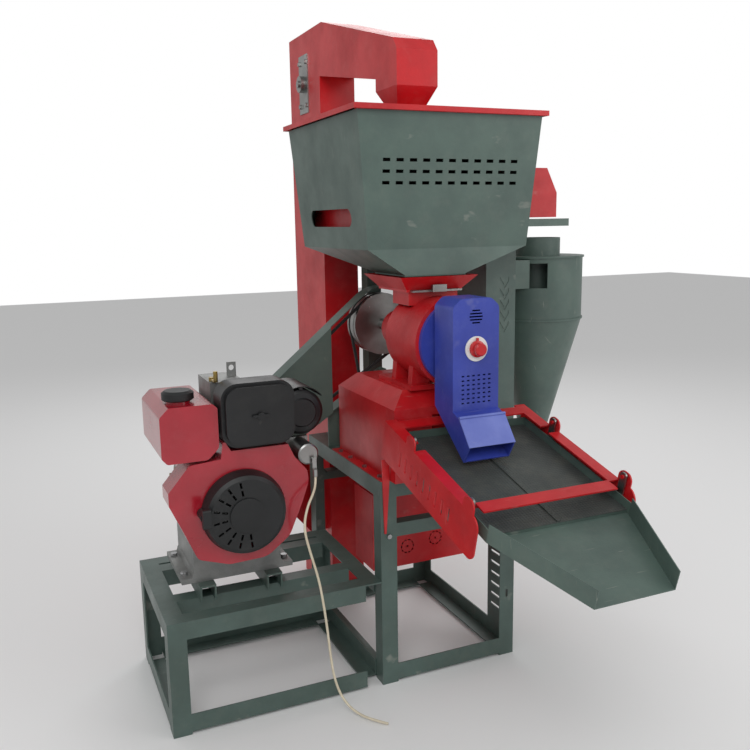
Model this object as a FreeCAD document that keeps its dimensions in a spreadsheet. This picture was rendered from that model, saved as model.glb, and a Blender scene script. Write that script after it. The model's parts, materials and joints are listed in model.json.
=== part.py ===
"""Rice huller with diesel engine, paddy screen, elevator, cyclone and vibratory screen.

Millimetres.  The construction frame has its origin at the front left bottom corner of the main
frame: +X to the right along the hopper's front, +Y to the back, +Z up.  Every finished sub-part is
then moved so that the machine stands on z = 0 over the middle of its own footprint.
"""
import math
import os

import FreeCAD
import Part
import Sketcher

os.makedirs("parts", exist_ok=True)
doc = FreeCAD.newDocument("rice_huller")
Vector = FreeCAD.Vector

SIZES = {
    # rolled angle frames
    "main_width": 450,
    "main_depth": 605,
    "main_height": 625,
    "angle_leg": 50,
    "angle_wall": 4,
    "rail_lift": 8,
    "mid_rail_top": 495,
    "mid_rail_leg": 40,
    "engine_frame_width": 613,
    "engine_frame_depth": 472,
    "engine_frame_height": 325,
    "cross_rail_front": 130,
    "cross_rail_back": 360,
    "leg_plate_width": 90,
    "leg_plate_height": 330,
    # channels that carry the engine
    "channel_width": 45,
    "channel_height": 45,
    "channel_wall": 5,
    "channel_spread": 190,
    "channel_front": 95,
    "channel_length": 330,
    # sheet thickness
    "sheet": 2.5,
    "heavy_sheet": 4,
    # engine
    "crank_x": -385,
    "crank_z": 590,
    "crankcase_front": 130,
    "crankcase_length": 230,
    "crankcase_width": 250,
    "crankcase_base_width": 320,
    "foot_thickness": 14,
    "cowl_front": 42,
    "cowl_depth": 88,
    "cowl_wall": 3,
    "recoil_radius": 115,
    "recoil_depth": 44,
    "badge_radius": 47,
    "badge_depth": 4,
    "crank_radius": 16,
    "engine_pulley_radius": 55,
    "engine_pulley_width": 33,
    "fin_count": 6,
    "fin_thickness": 4,
    "fin_pitch": 11,
    "fin_block_width": 110,
    "head_height": 150,
    "tank_left": -592,
    "tank_width": 150,
    "tank_front": 40,
    "tank_depth": 290,
    "tank_bottom": 742,
    "tank_height": 148,
    "tank_corner": 24,
    "cap_radius": 42,
    "cap_height": 26,
    "cleaner_left": -436,
    "cleaner_width": 200,
    "cleaner_height": 172,
    "cleaner_bottom": 768,
    "cleaner_front": 8,
    "cleaner_depth": 100,
    "muffler_x": -184,
    "muffler_z": 822,
    "muffler_radius": 64,
    "muffler_front": 115,
    "muffler_length": 210,
    "guard_gap": 9,
    "guard_sheet": 2,
    "starter_radius": 29,
    "starter_x": -196,
    "starter_z": 722,
    "starter_front": 40,
    "lever_gap": 0.3,
    "running_gap": 0.05,
    # mill
    "mill_x": 204,
    "mill_z": 1018,
    "mill_front": -86,
    "mill_length": 236,
    "mill_radius": 120,
    "mill_wall": 9,
    "sieve_radius": 84,
    "sieve_wall": 2,
    "rotor_radius": 62,
    "rotor_rib_height": 8,
    "rotor_rib_count": 4,
    "shaft_radius": 19,
    "bearing_radius": 57,
    "bearing_length": 92,
    "bearing_gap": 60,
    "mill_pulley_radius": 100,
    "mill_pulley_width": 66,
    "mill_pulley_front": 415,
    "flange_radius": 116,
    "flange_thickness": 14,
    "base_left": 30,
    "base_width": 330,
    "base_front": -36,
    "base_depth": 421,
    "base_height": 210,
    "base_roof_rise": 45,
    "base_roof_inset": 48,
    "base_flange": 28,
    "base_window_width": 96,
    "base_window_height": 62,
    # outlet head
    "head_left": 122,
    "head_width": 138,
    "head_front": -200,
    "head_depth": 100,
    "head_bottom": 855,
    "head_top": 1132,
    "head_arch": 22,
    "neck_radius": 60,
    "dial_radius": 33,
    "dial_depth": 3,
    "knob_radius": 17,
    "knob_length": 26,
    "flap_gap": 0.4,
    "flap_thickness": 2.5,
    # inlet
    "inlet_bottom": 1158,
    "inlet_top": 1196,
    "inlet_left": 104,
    "inlet_width": 176,
    "inlet_back": 222,
    "inlet_depth": 190,
    "inlet_flare": 34,
    "gate_thickness": 5,
    "gate_gap": 0.4,
    "gate_length": 144,
    # hopper over the mill
    "hopper_width": 600,
    "hopper_depth": 593,
    "hopper_left": -64,
    "hopper_front": -16,
    "hopper_top": 1650,
    "hopper_bottom": 1272,
    "lid_rim": 14,
    "lid_overhang": 14,
    "hopper_side_slope": 42,
    "hopper_front_slope": 42,
    "slot_length": 330,
    "slot_height": 50,
    "slot_bottom": 1335,
    "screen_bed_drop": 12,
    "throat_left": 96,
    "throat_width": 192,
    "throat_bottom": 1200,
    "throat_front": 24,
    "throat_depth": 206,
    "chute_length": 145,
    "chute_height": 22,
    # posts
    "post_left": 415,
    "post_width": 105,
    "post_front": 120,
    "post_depth": 220,
    "chevron_count": 5,
    "chevron_pitch": 34,
    "chevron_rise": 24,
    "chevron_width": 12,
    "rear_post_left": 195,
    "rear_post_width": 50,
    "rear_post_front": 520,
    "rear_post_depth": 50,
    # bucket elevator
    "elevator_left": 75,
    "elevator_width": 122,
    "elevator_front": 605,
    "elevator_depth": 300,
    "elevator_bottom": 0,
    "elevator_top": 1978,
    "arm_front": 140,
    "arm_roof_drop": 150,
    "arm_under_front": 1738,
    "arm_under_back": 1817,
    "drum_radius": 62,
    "drum_width": 88,
    "head_shaft_z": 1812,
    "boot_shaft_z": 150,
    "drum_y": 756,
    "drum_shaft_radius": 12,
    "belt_thickness": 4,
    "bucket_width": 82,
    "bucket_reach": 46,
    "bucket_height": 50,
    "bucket_pitch": 200,
    "spout_front": 20,
    "spout_depth": 138,
    "spout_side_low": 1704,
    "spout_taper_x": 20,
    "spout_taper_y": 42,
    # cyclone
    "cyclone_x": 822,
    "cyclone_y": 452,
    "cyclone_radius": 163,
    "cyclone_top": 1222,
    "cyclone_shoulder": 1000,
    "cyclone_tip_z": 590,
    "cyclone_tip_radius": 48,
    "outlet_pipe_radius": 84,
    "outlet_pipe_top": 1284,
    "riser_left": 540,
    "riser_width": 92,
    "riser_front": 330,
    "riser_depth": 90,
    # blower
    "blower_left": 100,
    "blower_width": 340,
    "blower_front": 290,
    "blower_depth": 150,
    "blower_bottom": 225,
    "blower_height": 258,
    "blower_x": 262,
    "blower_z": 352,
    "blower_wheel_radius": 104,
    "blower_wheel_width": 100,
    "blade_count": 6,
    "blade_thickness": 3,
    "blower_pulley_radius": 40,
    "rosette_radius": 24,
    "rosette_slots": 10,
    # dust hood
    "hood_left": 400,
    "hood_front": 592,
    "hood_depth": 150,
    "hood_bottom": 1355,
    "hood_height": 180,
    "hood_chamfer": 90,
    "hood_right": 1008,
    # belt drive
    "belt_width": 13,
    "belt_height": 8,
    "belt_clearance": 0.3,
    "cover_gap": 26,
    "cover_depth": 66,
    "cover_lead": 28,
    # vibratory screen
    "screen_slope": 14.3,
    "screen_rear_y": -40,
    "screen_rear_z": 812,
    "screen_length": 512,
    "screen_side_height": 112,
    "screen_top_flange": 34,
    "screen_left": 0,
    "screen_width": 450,
    "tray_gap": 18,
    "tray_wall_height": 34,
    "tray_chute_height": 48,
    "tray_tip": 270,
    "tray_taper": 96,
    "tray_rear": 44,
        "hanger_length": 52,
    "hanger_lift": 20,
    "hanger_width": 22,
    "hanger_thickness": 5,
    "hanger_rear": 158,
    "hanger_front": 462,
    "pin_radius": 5,
    "pin_gap": 0.4,
    # fasteners and leads
    "bolt_across": 13,
    "bolt_head": 6,
    "lead_radius": 5.5,
    "black_lead_radius": 4.5,
}

sheet = doc.addObject("Spreadsheet::Sheet", "Sizes")
for row, (alias, number) in enumerate(SIZES.items(), start=1):
    sheet.set(f"A{row}", alias.replace("_", " "))
    sheet.set(f"B{row}", str(number))
    sheet.setAlias(f"B{row}", alias)
doc.recompute()


# ---------------------------------------------------------------- sizes that stay formulas

class Size:
    """A size that knows its number and the sheet formula behind it."""

    def __init__(self, number, text):
        self.number = float(number)
        self.text = text

    def __add__(self, other):
        other = as_size(other)
        return Size(self.number + other.number, f"({self.text} + {other.text})")

    def __sub__(self, other):
        other = as_size(other)
        return Size(self.number - other.number, f"({self.text} - {other.text})")

    def __mul__(self, other):
        other = as_size(other)
        return Size(self.number * other.number, f"({self.text} * {other.text})")

    def __truediv__(self, other):
        other = as_size(other)
        return Size(self.number / other.number, f"({self.text} / {other.text})")

    def __neg__(self):
        return Size(-self.number, f"(0 - {self.text})")

    def __radd__(self, other):
        return as_size(other) + self

    def __rsub__(self, other):
        return as_size(other) - self

    def __rmul__(self, other):
        return as_size(other) * self


def as_size(item):
    """Give any plain number the same form as a sheet size."""
    return item if isinstance(item, Size) else Size(item, f"({item:.9g})" if item < 0 else f"{item:.9g}")


def sine(angle):
    """Sine of an angle in degrees."""
    return Size(math.sin(math.radians(angle.number)), f"sin({angle.text})")


def cosine(angle):
    """Cosine of an angle in degrees."""
    return Size(math.cos(math.radians(angle.number)), f"cos({angle.text})")


def tangent(angle):
    """Tangent of an angle in degrees."""
    return Size(math.tan(math.radians(angle.number)), f"tan({angle.text})")


def root(item):
    """Square root."""
    return Size(math.sqrt(item.number), f"sqrt({item.text})")


class Sheet:
    """The spreadsheet's cells, read as attributes."""

    def __getattr__(self, alias):
        return Size(SIZES[alias], f"Sizes.{alias}")


s = Sheet()

# ---------------------------------------------------------------- shapes bound to the sheet

TURNS = {
    "x": FreeCAD.Rotation(Vector(0, 1, 0), 90),
    "-x": FreeCAD.Rotation(Vector(0, 1, 0), -90),
    "y": FreeCAD.Rotation(Vector(1, 0, 0), -90),
    "-y": FreeCAD.Rotation(Vector(1, 0, 0), 90),
    "z": FreeCAD.Rotation(),
    "-z": FreeCAD.Rotation(Vector(1, 0, 0), 180),
}
PLANES = {"x": "YZ_Plane", "y": "XZ_Plane", "z": "XY_Plane"}
places = {}
subparts = []


def bind(item, **formulas):
    """Tie properties of an object to sheet formulas."""
    for name, size in formulas.items():
        item.setExpression(name.replace("__", "."), as_size(size).text)


def place(item, x, y, z, turn=None):
    """Put an object at a point, tied to the sheet."""
    point = [as_size(value) for value in (x, y, z)]
    rotation = turn if turn else item.Placement.Rotation
    item.Placement = FreeCAD.Placement(Vector(*[value.number for value in point]), rotation)
    for axis, value in zip("xyz", point):
        item.setExpression(f"Placement.Base.{axis}", value.text)
    places[item.Name] = point
    return item


def box(x, y, z, width, depth, height):
    """Block from its low corner."""
    item = doc.addObject("Part::Box", "block")
    bind(item, Length=width, Width=depth, Height=height)
    return place(item, x, y, z)


def rod(along, x, y, z, radius, length):
    """Round bar from the centre of its first end."""
    item = doc.addObject("Part::Cylinder", "rod")
    bind(item, Radius=radius, Height=length)
    return place(item, x, y, z, TURNS[along])


def cone(along, x, y, z, first_radius, last_radius, length):
    """Tapered round bar from the centre of its first end."""
    item = doc.addObject("Part::Cone", "cone")
    bind(item, Radius1=first_radius, Radius2=last_radius, Height=length)
    return place(item, x, y, z, TURNS[along])


def hexagon(along, x, y, z, across, length):
    """Six-sided bar: bolt heads and nuts."""
    item = doc.addObject("Part::Prism", "hexagon")
    item.Polygon = 6
    bind(item, Circumradius=as_size(across) / 1.732, Height=length)
    return place(item, x, y, z, TURNS[along])


def frustum(low, low_z, high, high_z):
    """Four-sided taper between two level rectangles given as (left, front, width, depth)."""
    item = doc.addObject("Part::Wedge", "taper")
    left, front, width, depth = [as_size(value) for value in low]
    top_left, top_front, top_width, top_depth = [as_size(value) for value in high]
    bind(item, Xmin=left, Xmax=left + width, X2min=top_left, X2max=top_left + top_width)
    bind(item, Zmin=-(front + depth), Zmax=-front)
    bind(item, Z2min=-(top_front + top_depth), Z2max=-top_front)
    bind(item, Ymin=low_z, Ymax=high_z)
    return place(item, 0, 0, 0, FreeCAD.Rotation(Vector(1, 0, 0), 90))


def origin_plane(body, role):
    """One of a body's own base planes."""
    return next(plane for plane in body.Origin.OriginFeatures if plane.Role == role)


def draw(body, along, outline, start):
    """Sketch a closed outline on the plane square to an axis, every corner tied to the sheet."""
    sketch = body.newObject("Sketcher::SketchObject", "outline")
    sketch.AttachmentSupport = [(origin_plane(body, PLANES[along]), "")]
    sketch.MapMode = "FlatFace"
    offset = -as_size(start) if along == "y" else as_size(start)
    sketch.AttachmentOffset = FreeCAD.Placement(Vector(0, 0, offset.number), FreeCAD.Rotation())
    sketch.setExpression("AttachmentOffset.Base.z", offset.text)
    corners = [(as_size(u), as_size(v)) for u, v in outline]
    points = [Vector(u.number, v.number, 0) for u, v in corners]
    count = len(points)
    for index in range(count):
        sketch.addGeometry(Part.LineSegment(points[index], points[(index + 1) % count]), False)
    for index in range(count):
        sketch.addConstraint(Sketcher.Constraint("Coincident", index, 2, (index + 1) % count, 1))
    for index, (u, v) in enumerate(corners):
        for kind, size in (("DistanceX", u), ("DistanceY", v)):
            number = sketch.addConstraint(Sketcher.Constraint(kind, -1, 1, index, 1, size.number))
            sketch.setExpression(f"Constraints[{number}]", size.text)
    return sketch


def extrude(along, outline, start, length, rounds=None, holes=()):
    """Plate or bar of one section: rounds maps a corner's number to its radius."""
    body = doc.addObject("PartDesign::Body", "body")
    sketch = draw(body, along, outline, start)
    for u, v, radius in holes:
        u, v, radius = as_size(u), as_size(v), as_size(radius)
        ring = sketch.addGeometry(Part.Circle(Vector(u.number, v.number, 0), Vector(0, 0, 1), radius.number), False)
        for kind, size in (("DistanceX", u), ("DistanceY", v)):
            number = sketch.addConstraint(Sketcher.Constraint(kind, -1, 1, ring, 3, size.number))
            sketch.setExpression(f"Constraints[{number}]", size.text)
        number = sketch.addConstraint(Sketcher.Constraint("Radius", ring, radius.number))
        sketch.setExpression(f"Constraints[{number}]", radius.text)
    pad = body.newObject("PartDesign::Pad", "pad")
    pad.Profile = sketch
    pad.Reversed = along == "y"
    bind(pad, Length=length)
    if rounds:
        doc.recompute()
        round_corners(body, pad, along, outline, rounds)
    return place(body, 0, 0, 0)


def round_corners(body, pad, along, outline, rounds):
    """Fillet the edges of a pad that stand on the numbered corners of its outline."""
    radii = {}
    for corner, radius in rounds.items():
        radii.setdefault(as_size(radius).text, (as_size(radius), []))[1].append(corner)
    base = pad
    for radius, corners in radii.values():
        names = []
        for number, edge in enumerate(base.Shape.Edges, start=1):
            first, last = edge.Vertexes[0].Point, edge.Vertexes[-1].Point
            if abs(getattr(first, along) - getattr(last, along)) < edge.Length - 1e-6 or edge.Length < 1e-6:
                continue
            flat = {"x": (first.y, first.z), "y": (first.x, first.z), "z": (first.x, first.y)}[along]
            for corner in corners:
                u, v = [as_size(value).number for value in outline[corner]]
                if math.hypot(flat[0] - u, flat[1] - v) < 1e-4:
                    names.append(f"Edge{number}")
        fillet = body.newObject("PartDesign::Fillet", "corners")
        fillet.Base = (base, names)
        bind(fillet, Radius=radius)
        doc.recompute()
        base = fillet


def turned(along, x, y, z, outline):
    """Revolved piece: outline corners are (distance along the axis, radius)."""
    body = doc.addObject("PartDesign::Body", "turned")
    sketch = draw(body, "z", [(radius, step) for step, radius in outline], 0)
    spin = body.newObject("PartDesign::Revolution", "turn")
    spin.Profile = sketch
    spin.ReferenceAxis = (sketch, ["V_Axis"])
    spin.Angle = 360
    upright = FreeCAD.Rotation(Vector(1, 0, 0), 90)
    return place(body, x, y, z, TURNS[along].multiply(upright))


def cut(base, *tools):
    """Base with every tool taken away."""
    item = doc.addObject("Part::Cut", "cut")
    item.Base = base
    item.Tool = tools[0] if len(tools) == 1 else fuse(*tools)
    return place(item, 0, 0, 0)


def fuse(*pieces):
    """Pieces joined into one solid."""
    if len(pieces) == 1:
        return pieces[0]
    item = doc.addObject("Part::MultiFuse", "joined")
    item.Shapes = list(pieces)
    item.Refine = True
    return place(item, 0, 0, 0)


def common(first, second):
    """What two pieces share."""
    item = doc.addObject("Part::MultiCommon", "shared")
    item.Shapes = [first, second]
    return place(item, 0, 0, 0)


def tube(along, x, y, z, radius, wall, length):
    """Hollow round bar."""
    return cut(rod(along, x, y, z, radius, length), rod(along, x, y, z, as_size(radius) - wall, length))


def oblong(along, u, v, start, length, width, depth, upright=False):
    """Round-ended slot cutter centred on (u, v) in the plane square to an axis."""
    half = (as_size(length) - width) / 2
    radius = as_size(width) / 2
    ends = [(u, v - half), (u, v + half)] if upright else [(u - half, v), (u + half, v)]
    spots = [spot(along, end_u, end_v, start) for end_u, end_v in ends]
    pieces = [rod(along, *point, radius, depth) for point in spots]
    if upright:
        pieces.append(slab(along, u - radius, v - half, start, width, as_size(length) - width, depth))
    else:
        pieces.append(slab(along, u - half, v - radius, start, as_size(length) - width, width, depth))
    return fuse(*pieces)


def spot(along, u, v, step):
    """Point from plane coordinates and the step along the axis."""
    return {"x": (step, u, v), "y": (u, step, v), "z": (u, v, step)}[along]


def slab(along, u, v, start, wide, tall, depth):
    """Block given in plane coordinates."""
    if along == "x":
        return box(start, u, v, depth, wide, tall)
    if along == "y":
        return box(u, start, v, wide, depth, tall)
    return box(u, v, start, wide, tall, depth)


def subpart(label, *pieces, at=(0, 0, 0), tilt=None):
    """Finish a sub-part: group its solids, name it and stand it in the machine's own frame."""
    if len(pieces) == 1:
        item = pieces[0]
    else:
        item = doc.addObject("Part::Compound", label)
        item.Links = list(pieces)
        places[item.Name] = [as_size(0)] * 3
    item.Label = label
    centre_x, centre_y = footprint_centre()
    base = places[item.Name]
    turn = item.Placement.Rotation
    if tilt:
        turn = FreeCAD.Rotation(Vector(1, 0, 0), tilt.number)
    place(item, base[0] + at[0] - centre_x, base[1] + at[1] - centre_y, base[2] + at[2], turn)
    if tilt:
        item.setExpression("Placement.Rotation.Angle", tilt.text)
    subparts.append(item)
    return item


def footprint_centre():
    """Middle of the ground that the machine covers, from engine to hood and from chute to elevator."""
    chute_reach = (screen_tray_length() + s.tray_tip) * cosine(s.screen_slope)
    front = s.screen_rear_y - chute_reach - (s.tray_chute_height + screen_tray_low()) * sine(s.screen_slope)
    back = s.elevator_front + s.elevator_depth
    return (s.hood_right - s.engine_frame_width) / 2, (back + front) / 2


def screen_tray_length():
    """Length of the vibrating tray's floor before its chute."""
    return s.screen_length + 10


def screen_tray_low():
    """Underside of the tray in the screen's own sloping frame."""
    return s.hanger_lift - s.hanger_length - 20


def angle_bar(along, u, v, turn_u, turn_v, start, length, leg=s.angle_leg, wall=s.angle_wall):
    """Rolled angle whose outer corner runs along (u, v); the turns say which way its legs point."""
    u, v = as_size(u), as_size(v)
    outline = [
        (u, v), (u + turn_u * leg, v), (u + turn_u * leg, v + turn_v * wall),
        (u + turn_u * wall, v + turn_v * wall), (u + turn_u * wall, v + turn_v * leg), (u, v + turn_v * leg),
    ]
    if turn_u * turn_v < 0:
        outline.reverse()
    return extrude(along, outline, start, length)


# ---------------------------------------------------------------- frames of rolled angle

def welded_frame(left, width, depth, height, posts):
    """Angle frame: posts at the named corners, a top ring and a bottom ring between them."""
    leg, wall = s.angle_leg, s.angle_wall
    right = left + width
    corners = {"fl": (left, 0, 1, 1), "fr": (right, 0, -1, 1), "bl": (left, depth, 1, -1), "br": (right, depth, -1, -1)}
    pieces = [angle_bar("z", *corners[name], 0, height - wall) for name in posts]
    for y, inward in ((as_size(0), 1), (depth, -1)):
        rail = angle_bar("x", y, height, inward, -1, left, width)
        notch_y = y if inward > 0 else y - leg
        notches = [box(x, notch_y, height - leg - 1, leg, leg, leg + 1 - wall) for x in (left, right - leg)]
        pieces.append(cut(rail, *notches))
        pieces.append(angle_bar("x", y, s.rail_lift, inward, 1, left + leg, width - 2 * leg))
    for x, inward in ((left, 1), (right, -1)):
        pieces.append(angle_bar("y", x, height, inward, -1, leg, depth - 2 * leg))
        pieces.append(angle_bar("y", x, s.rail_lift, inward, 1, leg, depth - 2 * leg))
    return pieces


def main_frame():
    """Frame under the mill, with mid rails and the slotted plate inside its right front leg."""
    leg, wall = s.angle_leg, s.angle_wall
    pieces = welded_frame(as_size(0), s.main_width, s.main_depth, s.main_height, ("fl", "fr", "bl", "br"))
    for y, inward in ((as_size(0), 1), (s.main_depth, -1)):
        bar = angle_bar("x", y, s.mid_rail_top, inward, -1, leg, s.main_width - 2 * leg, s.mid_rail_leg)
        pieces.append(bar)
    plate_z = s.rail_lift + leg + 2
    plate_x = s.main_width - wall - s.heavy_sheet
    plate = box(plate_x, leg, plate_z, s.heavy_sheet, s.leg_plate_width, s.leg_plate_height)
    slots = []
    for step in range(6):
        z = plate_z + 60 + step * 36
        slots.append(oblong("x", leg + s.leg_plate_width / 2, z, plate_x - 1, 56, 9, s.heavy_sheet + 2))
    pieces.append(cut(plate, *slots))
    slot = oblong("y", s.main_width - leg / 2, 205, -1, 26, 8, wall + 2, upright=True)
    pieces[1] = cut(pieces[1], slot)
    subpart("main_frame", *pieces)


def engine_frame():
    """Low frame beside the main one, welded to it along x = 0, with two cross rails."""
    left = -s.engine_frame_width
    leg = s.angle_leg
    pieces = welded_frame(left, s.engine_frame_width, s.engine_frame_depth, s.engine_frame_height, ("fl", "bl", "br"))
    rail_length = s.engine_frame_width - 2 * leg
    for y in (s.cross_rail_front, s.cross_rail_back):
        pieces.append(angle_bar("x", y, s.engine_frame_height, 1, -1, left + leg, rail_length))
    subpart("engine_frame", *pieces)


def engine_rails():
    """Two channels that bridge the cross rails and carry the engine's feet."""
    width, height, wall = s.channel_width, s.channel_height, s.channel_wall
    pieces = []
    for side in (-1, 1):
        middle = s.crank_x + side * s.channel_spread / 2
        low, high = s.engine_frame_height, s.engine_frame_height + height
        left, right = middle - width / 2, middle + width / 2
        outline = [
            (left, low), (left + wall, low), (left + wall, high - wall), (right - wall, high - wall),
            (right - wall, low), (right, low), (right, high), (left, high),
        ]
        pieces.append(extrude("y", outline, s.channel_front, s.channel_length))
    subpart("engine_rails", *pieces)


# ---------------------------------------------------------------- engine

def engine_base_top():
    """Top of the channels, where the engine's feet stand."""
    return s.engine_frame_height + s.channel_height


def crankcase():
    """Aluminium crankcase with mounting feet, bored for the crankshaft."""
    low = engine_base_top()
    half, foot_half = s.crankcase_width / 2, s.crankcase_base_width / 2
    high = s.crank_z + half - 10
    outline = [
        (s.crank_x - foot_half, low), (s.crank_x + foot_half, low), (s.crank_x + foot_half, low + s.foot_thickness),
        (s.crank_x + half + 6, low + s.foot_thickness), (s.crank_x + half, low + s.foot_thickness + 16), (s.crank_x + half, s.crank_z + 60),
        (s.crank_x + 70, high), (s.crank_x - 70, high), (s.crank_x - half, s.crank_z + 60),
        (s.crank_x - half, low + s.foot_thickness + 16), (s.crank_x - half - 6, low + s.foot_thickness),
        (s.crank_x - foot_half, low + s.foot_thickness),
    ]
    case = extrude("y", outline, s.crankcase_front, s.crankcase_length, {5: 30, 8: 30, 6: 20, 7: 20})
    bore = rod("y", s.crank_x, s.crankcase_front - 1, s.crank_z, s.crank_radius + s.running_gap, s.crankcase_length + 12)
    boss = rod("y", s.crank_x, s.crankcase_front + s.crankcase_length - 2, s.crank_z, 44, 10)
    subpart("crankcase", cut(fuse(case, boss), bore))


def crankshaft():
    """Crankshaft end to end, with the drive pulley's belt groove."""
    front = s.crankcase_front - 30
    pulley_front = belt_line(0.25) - s.engine_pulley_width / 2
    length = pulley_front + s.engine_pulley_width - front
    shaft = rod("y", s.crank_x, front, s.crank_z, s.crank_radius, length)
    flywheel = rod("y", s.crank_x, s.crankcase_front - 34, s.crank_z, 90, 30)
    pulley = v_pulley(s.crank_x, pulley_front, s.crank_z, s.engine_pulley_radius, s.engine_pulley_width)
    subpart("crankshaft", fuse(shaft, flywheel, pulley))


def belt_line(share):
    """Plane of a belt, at its share of the mill pulley's width."""
    return s.mill_pulley_front + s.mill_pulley_width * share


def v_pulley(x, front, z, radius, width, grooves=(0,)):
    """Grooved pulley on an axis along y, dished between rim and hub."""
    radius, width = as_size(radius), as_size(width)
    top, foot = s.belt_width / 2 + s.belt_clearance, s.belt_width / 2 - 3 + s.belt_clearance
    depth = s.belt_height + 3
    outline = [(0, 0), (0, radius)]
    for offset in grooves:
        middle = width / 2 + offset
        outline += [(middle - top, radius), (middle - foot, radius - depth), (middle + foot, radius - depth), (middle + top, radius)]
    outline += [(width, radius), (width, 0)]
    return turned("y", x, front, z, outline)


def cylinder_head():
    """Finned barrel and head cover above the crankcase, with the lifting eye."""
    low = s.crank_z + s.crankcase_width / 2 - 10
    left, width = s.crank_x - s.fin_block_width / 2, s.fin_block_width
    front, depth = s.crankcase_front + 20, 170
    height = s.fin_count * s.fin_pitch
    core = box(left + 16, front + 16, low, width - 32, depth - 32, height + 2)
    fins = [box(left, front, low + s.fin_pitch * index + 6, width, depth, s.fin_thickness) for index in range(SIZES["fin_count"])]
    cover = box(left + 8, front + 8, low + height + 2, width - 16, depth - 16, s.head_height)
    eye_plate = box(left + width - 34, front + 90, low + height + 2 + s.head_height, 26, 6, 40)
    eye_hole = rod("y", left + width - 21, front + 89, low + height + s.head_height + 26, 8, 8)
    subpart("cylinder_head", fuse(core, *fins, cover), cut(eye_plate, eye_hole))


def fan_cowl():
    """Pressed cowl that leads the flywheel's air over the barrel."""
    x, z = s.crank_x, s.crank_z
    outline = [
        (x - 196, z + 74), (x - 196, z + 40), (x - 158, z - 46), (x - 128, z - 118), (x - 44, z - 146),
        (x + 62, z - 142), (x + 128, z - 92), (x + 164, z - 10), (x + 188, z + 56), (x + 184, z + 88),
        (x + 150, z + 128), (x + 132, z + 168), (x - 26, z + 168), (x - 46, z + 204),
        (x - 54, z + 149), (x - 138, z + 142),
    ]
    rounds = {1: 10, 4: 60, 5: 60, 6: 50, 8: 36, 9: 26, 10: 16, 13: 5, 3: 24, 15: 20}
    shell = extrude("y", outline, s.cowl_front, s.cowl_depth, rounds)
    room = rod("y", x, s.cowl_front + s.cowl_wall, z, s.recoil_radius + 8, s.cowl_depth)
    mouth = rod("y", x, s.cowl_front - 1, z, s.recoil_radius - 16, s.cowl_depth)
    subpart("fan_cowl", cut(shell, room, mouth))


def recoil_starter():
    """Recoil starter housing with radial vent slots, its plain badge and screws."""
    front = s.cowl_front - s.recoil_depth
    radius, depth = s.recoil_radius, s.recoil_depth
    shell = turned("y", s.crank_x, front, s.crank_z, [
        (0, 0), (0, radius - 18), (6, radius - 8), (depth - 10, radius), (depth, radius), (depth, radius - 4),
        (12, radius - 12), (8, radius - 22), (8, 0),
    ])
    slots = []
    for index in range(9):
        turn = math.radians(100 + index * 22)
        for reach in (62, 84):
            u = s.crank_x + reach * math.cos(turn)
            v = s.crank_z + reach * math.sin(turn)
            slot = box(-8, -1, -3, 16, 14, 6)
            angle = 100 + index * 22
            place(slot, u - 8 * math.cos(turn) + 3 * math.sin(turn), front - 1,
                  v - 8 * math.sin(turn) - 3 * math.cos(turn), FreeCAD.Rotation(Vector(0, 1, 0), -angle))
            slots.append(slot)
    badge = rod("y", s.crank_x, front - s.badge_depth, s.crank_z, s.badge_radius, s.badge_depth)
    guide_x, guide_z = handle_guide()
    guide = rod("y", guide_x, front - 4, guide_z, 14, depth)
    guide_bore = rod("y", guide_x, front - 5, guide_z, 7 + s.running_gap, 16)
    subpart("recoil_starter", cut(fuse(shell, guide), guide_bore, *slots), badge)


def handle_guide():
    """Where the starter rope's guide stands on the housing: (x, z)."""
    return s.crank_x - s.recoil_radius + 3, s.crank_z + 12


def starter_handle():
    """T-shaped pull handle at the end of its guide, left of the recoil starter."""
    x, z = handle_guide()
    guide_front = s.cowl_front - s.recoil_depth - 4 - s.lever_gap
    grip = extrude("x", [
        (guide_front - 20, z - 26), (guide_front, z - 26), (guide_front, z + 26), (guide_front - 20, z + 26),
    ], x - 11, 22, {0: 6, 1: 6, 2: 6, 3: 6})
    stem = rod("y", x, guide_front - 1, z, 7, 13)
    subpart("starter_handle", fuse(grip, stem))


def fuel_tank():
    """Pressed steel tank with a folded seam, outlet boss and bracket down to the head."""
    left, front, low = s.tank_left, s.tank_front, s.tank_bottom
    width, depth, height, corner = s.tank_width, s.tank_depth, s.tank_height, s.tank_corner
    outline = [
        (left + 14, low), (left + width - 30, low), (left + width, low + 30), (left + width, low + height - 12),
        (left + width - 12, low + height), (left + corner, low + height), (left, low + height - corner), (left, low + 16),
    ]
    body = extrude("y", outline, front, depth, {0: 10, 1: 20, 2: 20, 3: 8, 4: 8, 5: 10, 6: 10, 7: 10})
    neck = rod("z", left + 62, front + 70, low + height - 1, s.cap_radius - 10, 7)
    bracket_top = low
    bracket_left = s.crank_x - s.crankcase_width / 2 - s.heavy_sheet
    bracket = box(bracket_left, front + 200, bracket_top - s.heavy_sheet, s.crank_x - s.crankcase_width / 2 + 40 - bracket_left, 60, s.heavy_sheet)
    strut_low = s.crank_z + 60
    strut = box(s.crank_x - s.crankcase_width / 2 - s.heavy_sheet, front + 200, strut_low - 40, s.heavy_sheet, 60, bracket_top - s.heavy_sheet - strut_low + 40)
    subpart("fuel_tank", fuse(body, neck), bracket, strut)


def fuel_cap():
    """Ribbed screw cap on the tank's neck."""
    x, y = s.tank_left + 62, s.tank_front + 70
    low = s.tank_bottom + s.tank_height + 6 + s.lever_gap
    cap = turned("z", x, y, low, [
        (0, 0), (0, s.cap_radius - 4), (3, s.cap_radius), (s.cap_height - 6, s.cap_radius),
        (s.cap_height, s.cap_radius - 8), (s.cap_height, 0),
    ])
    subpart("fuel_cap", cap)


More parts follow.
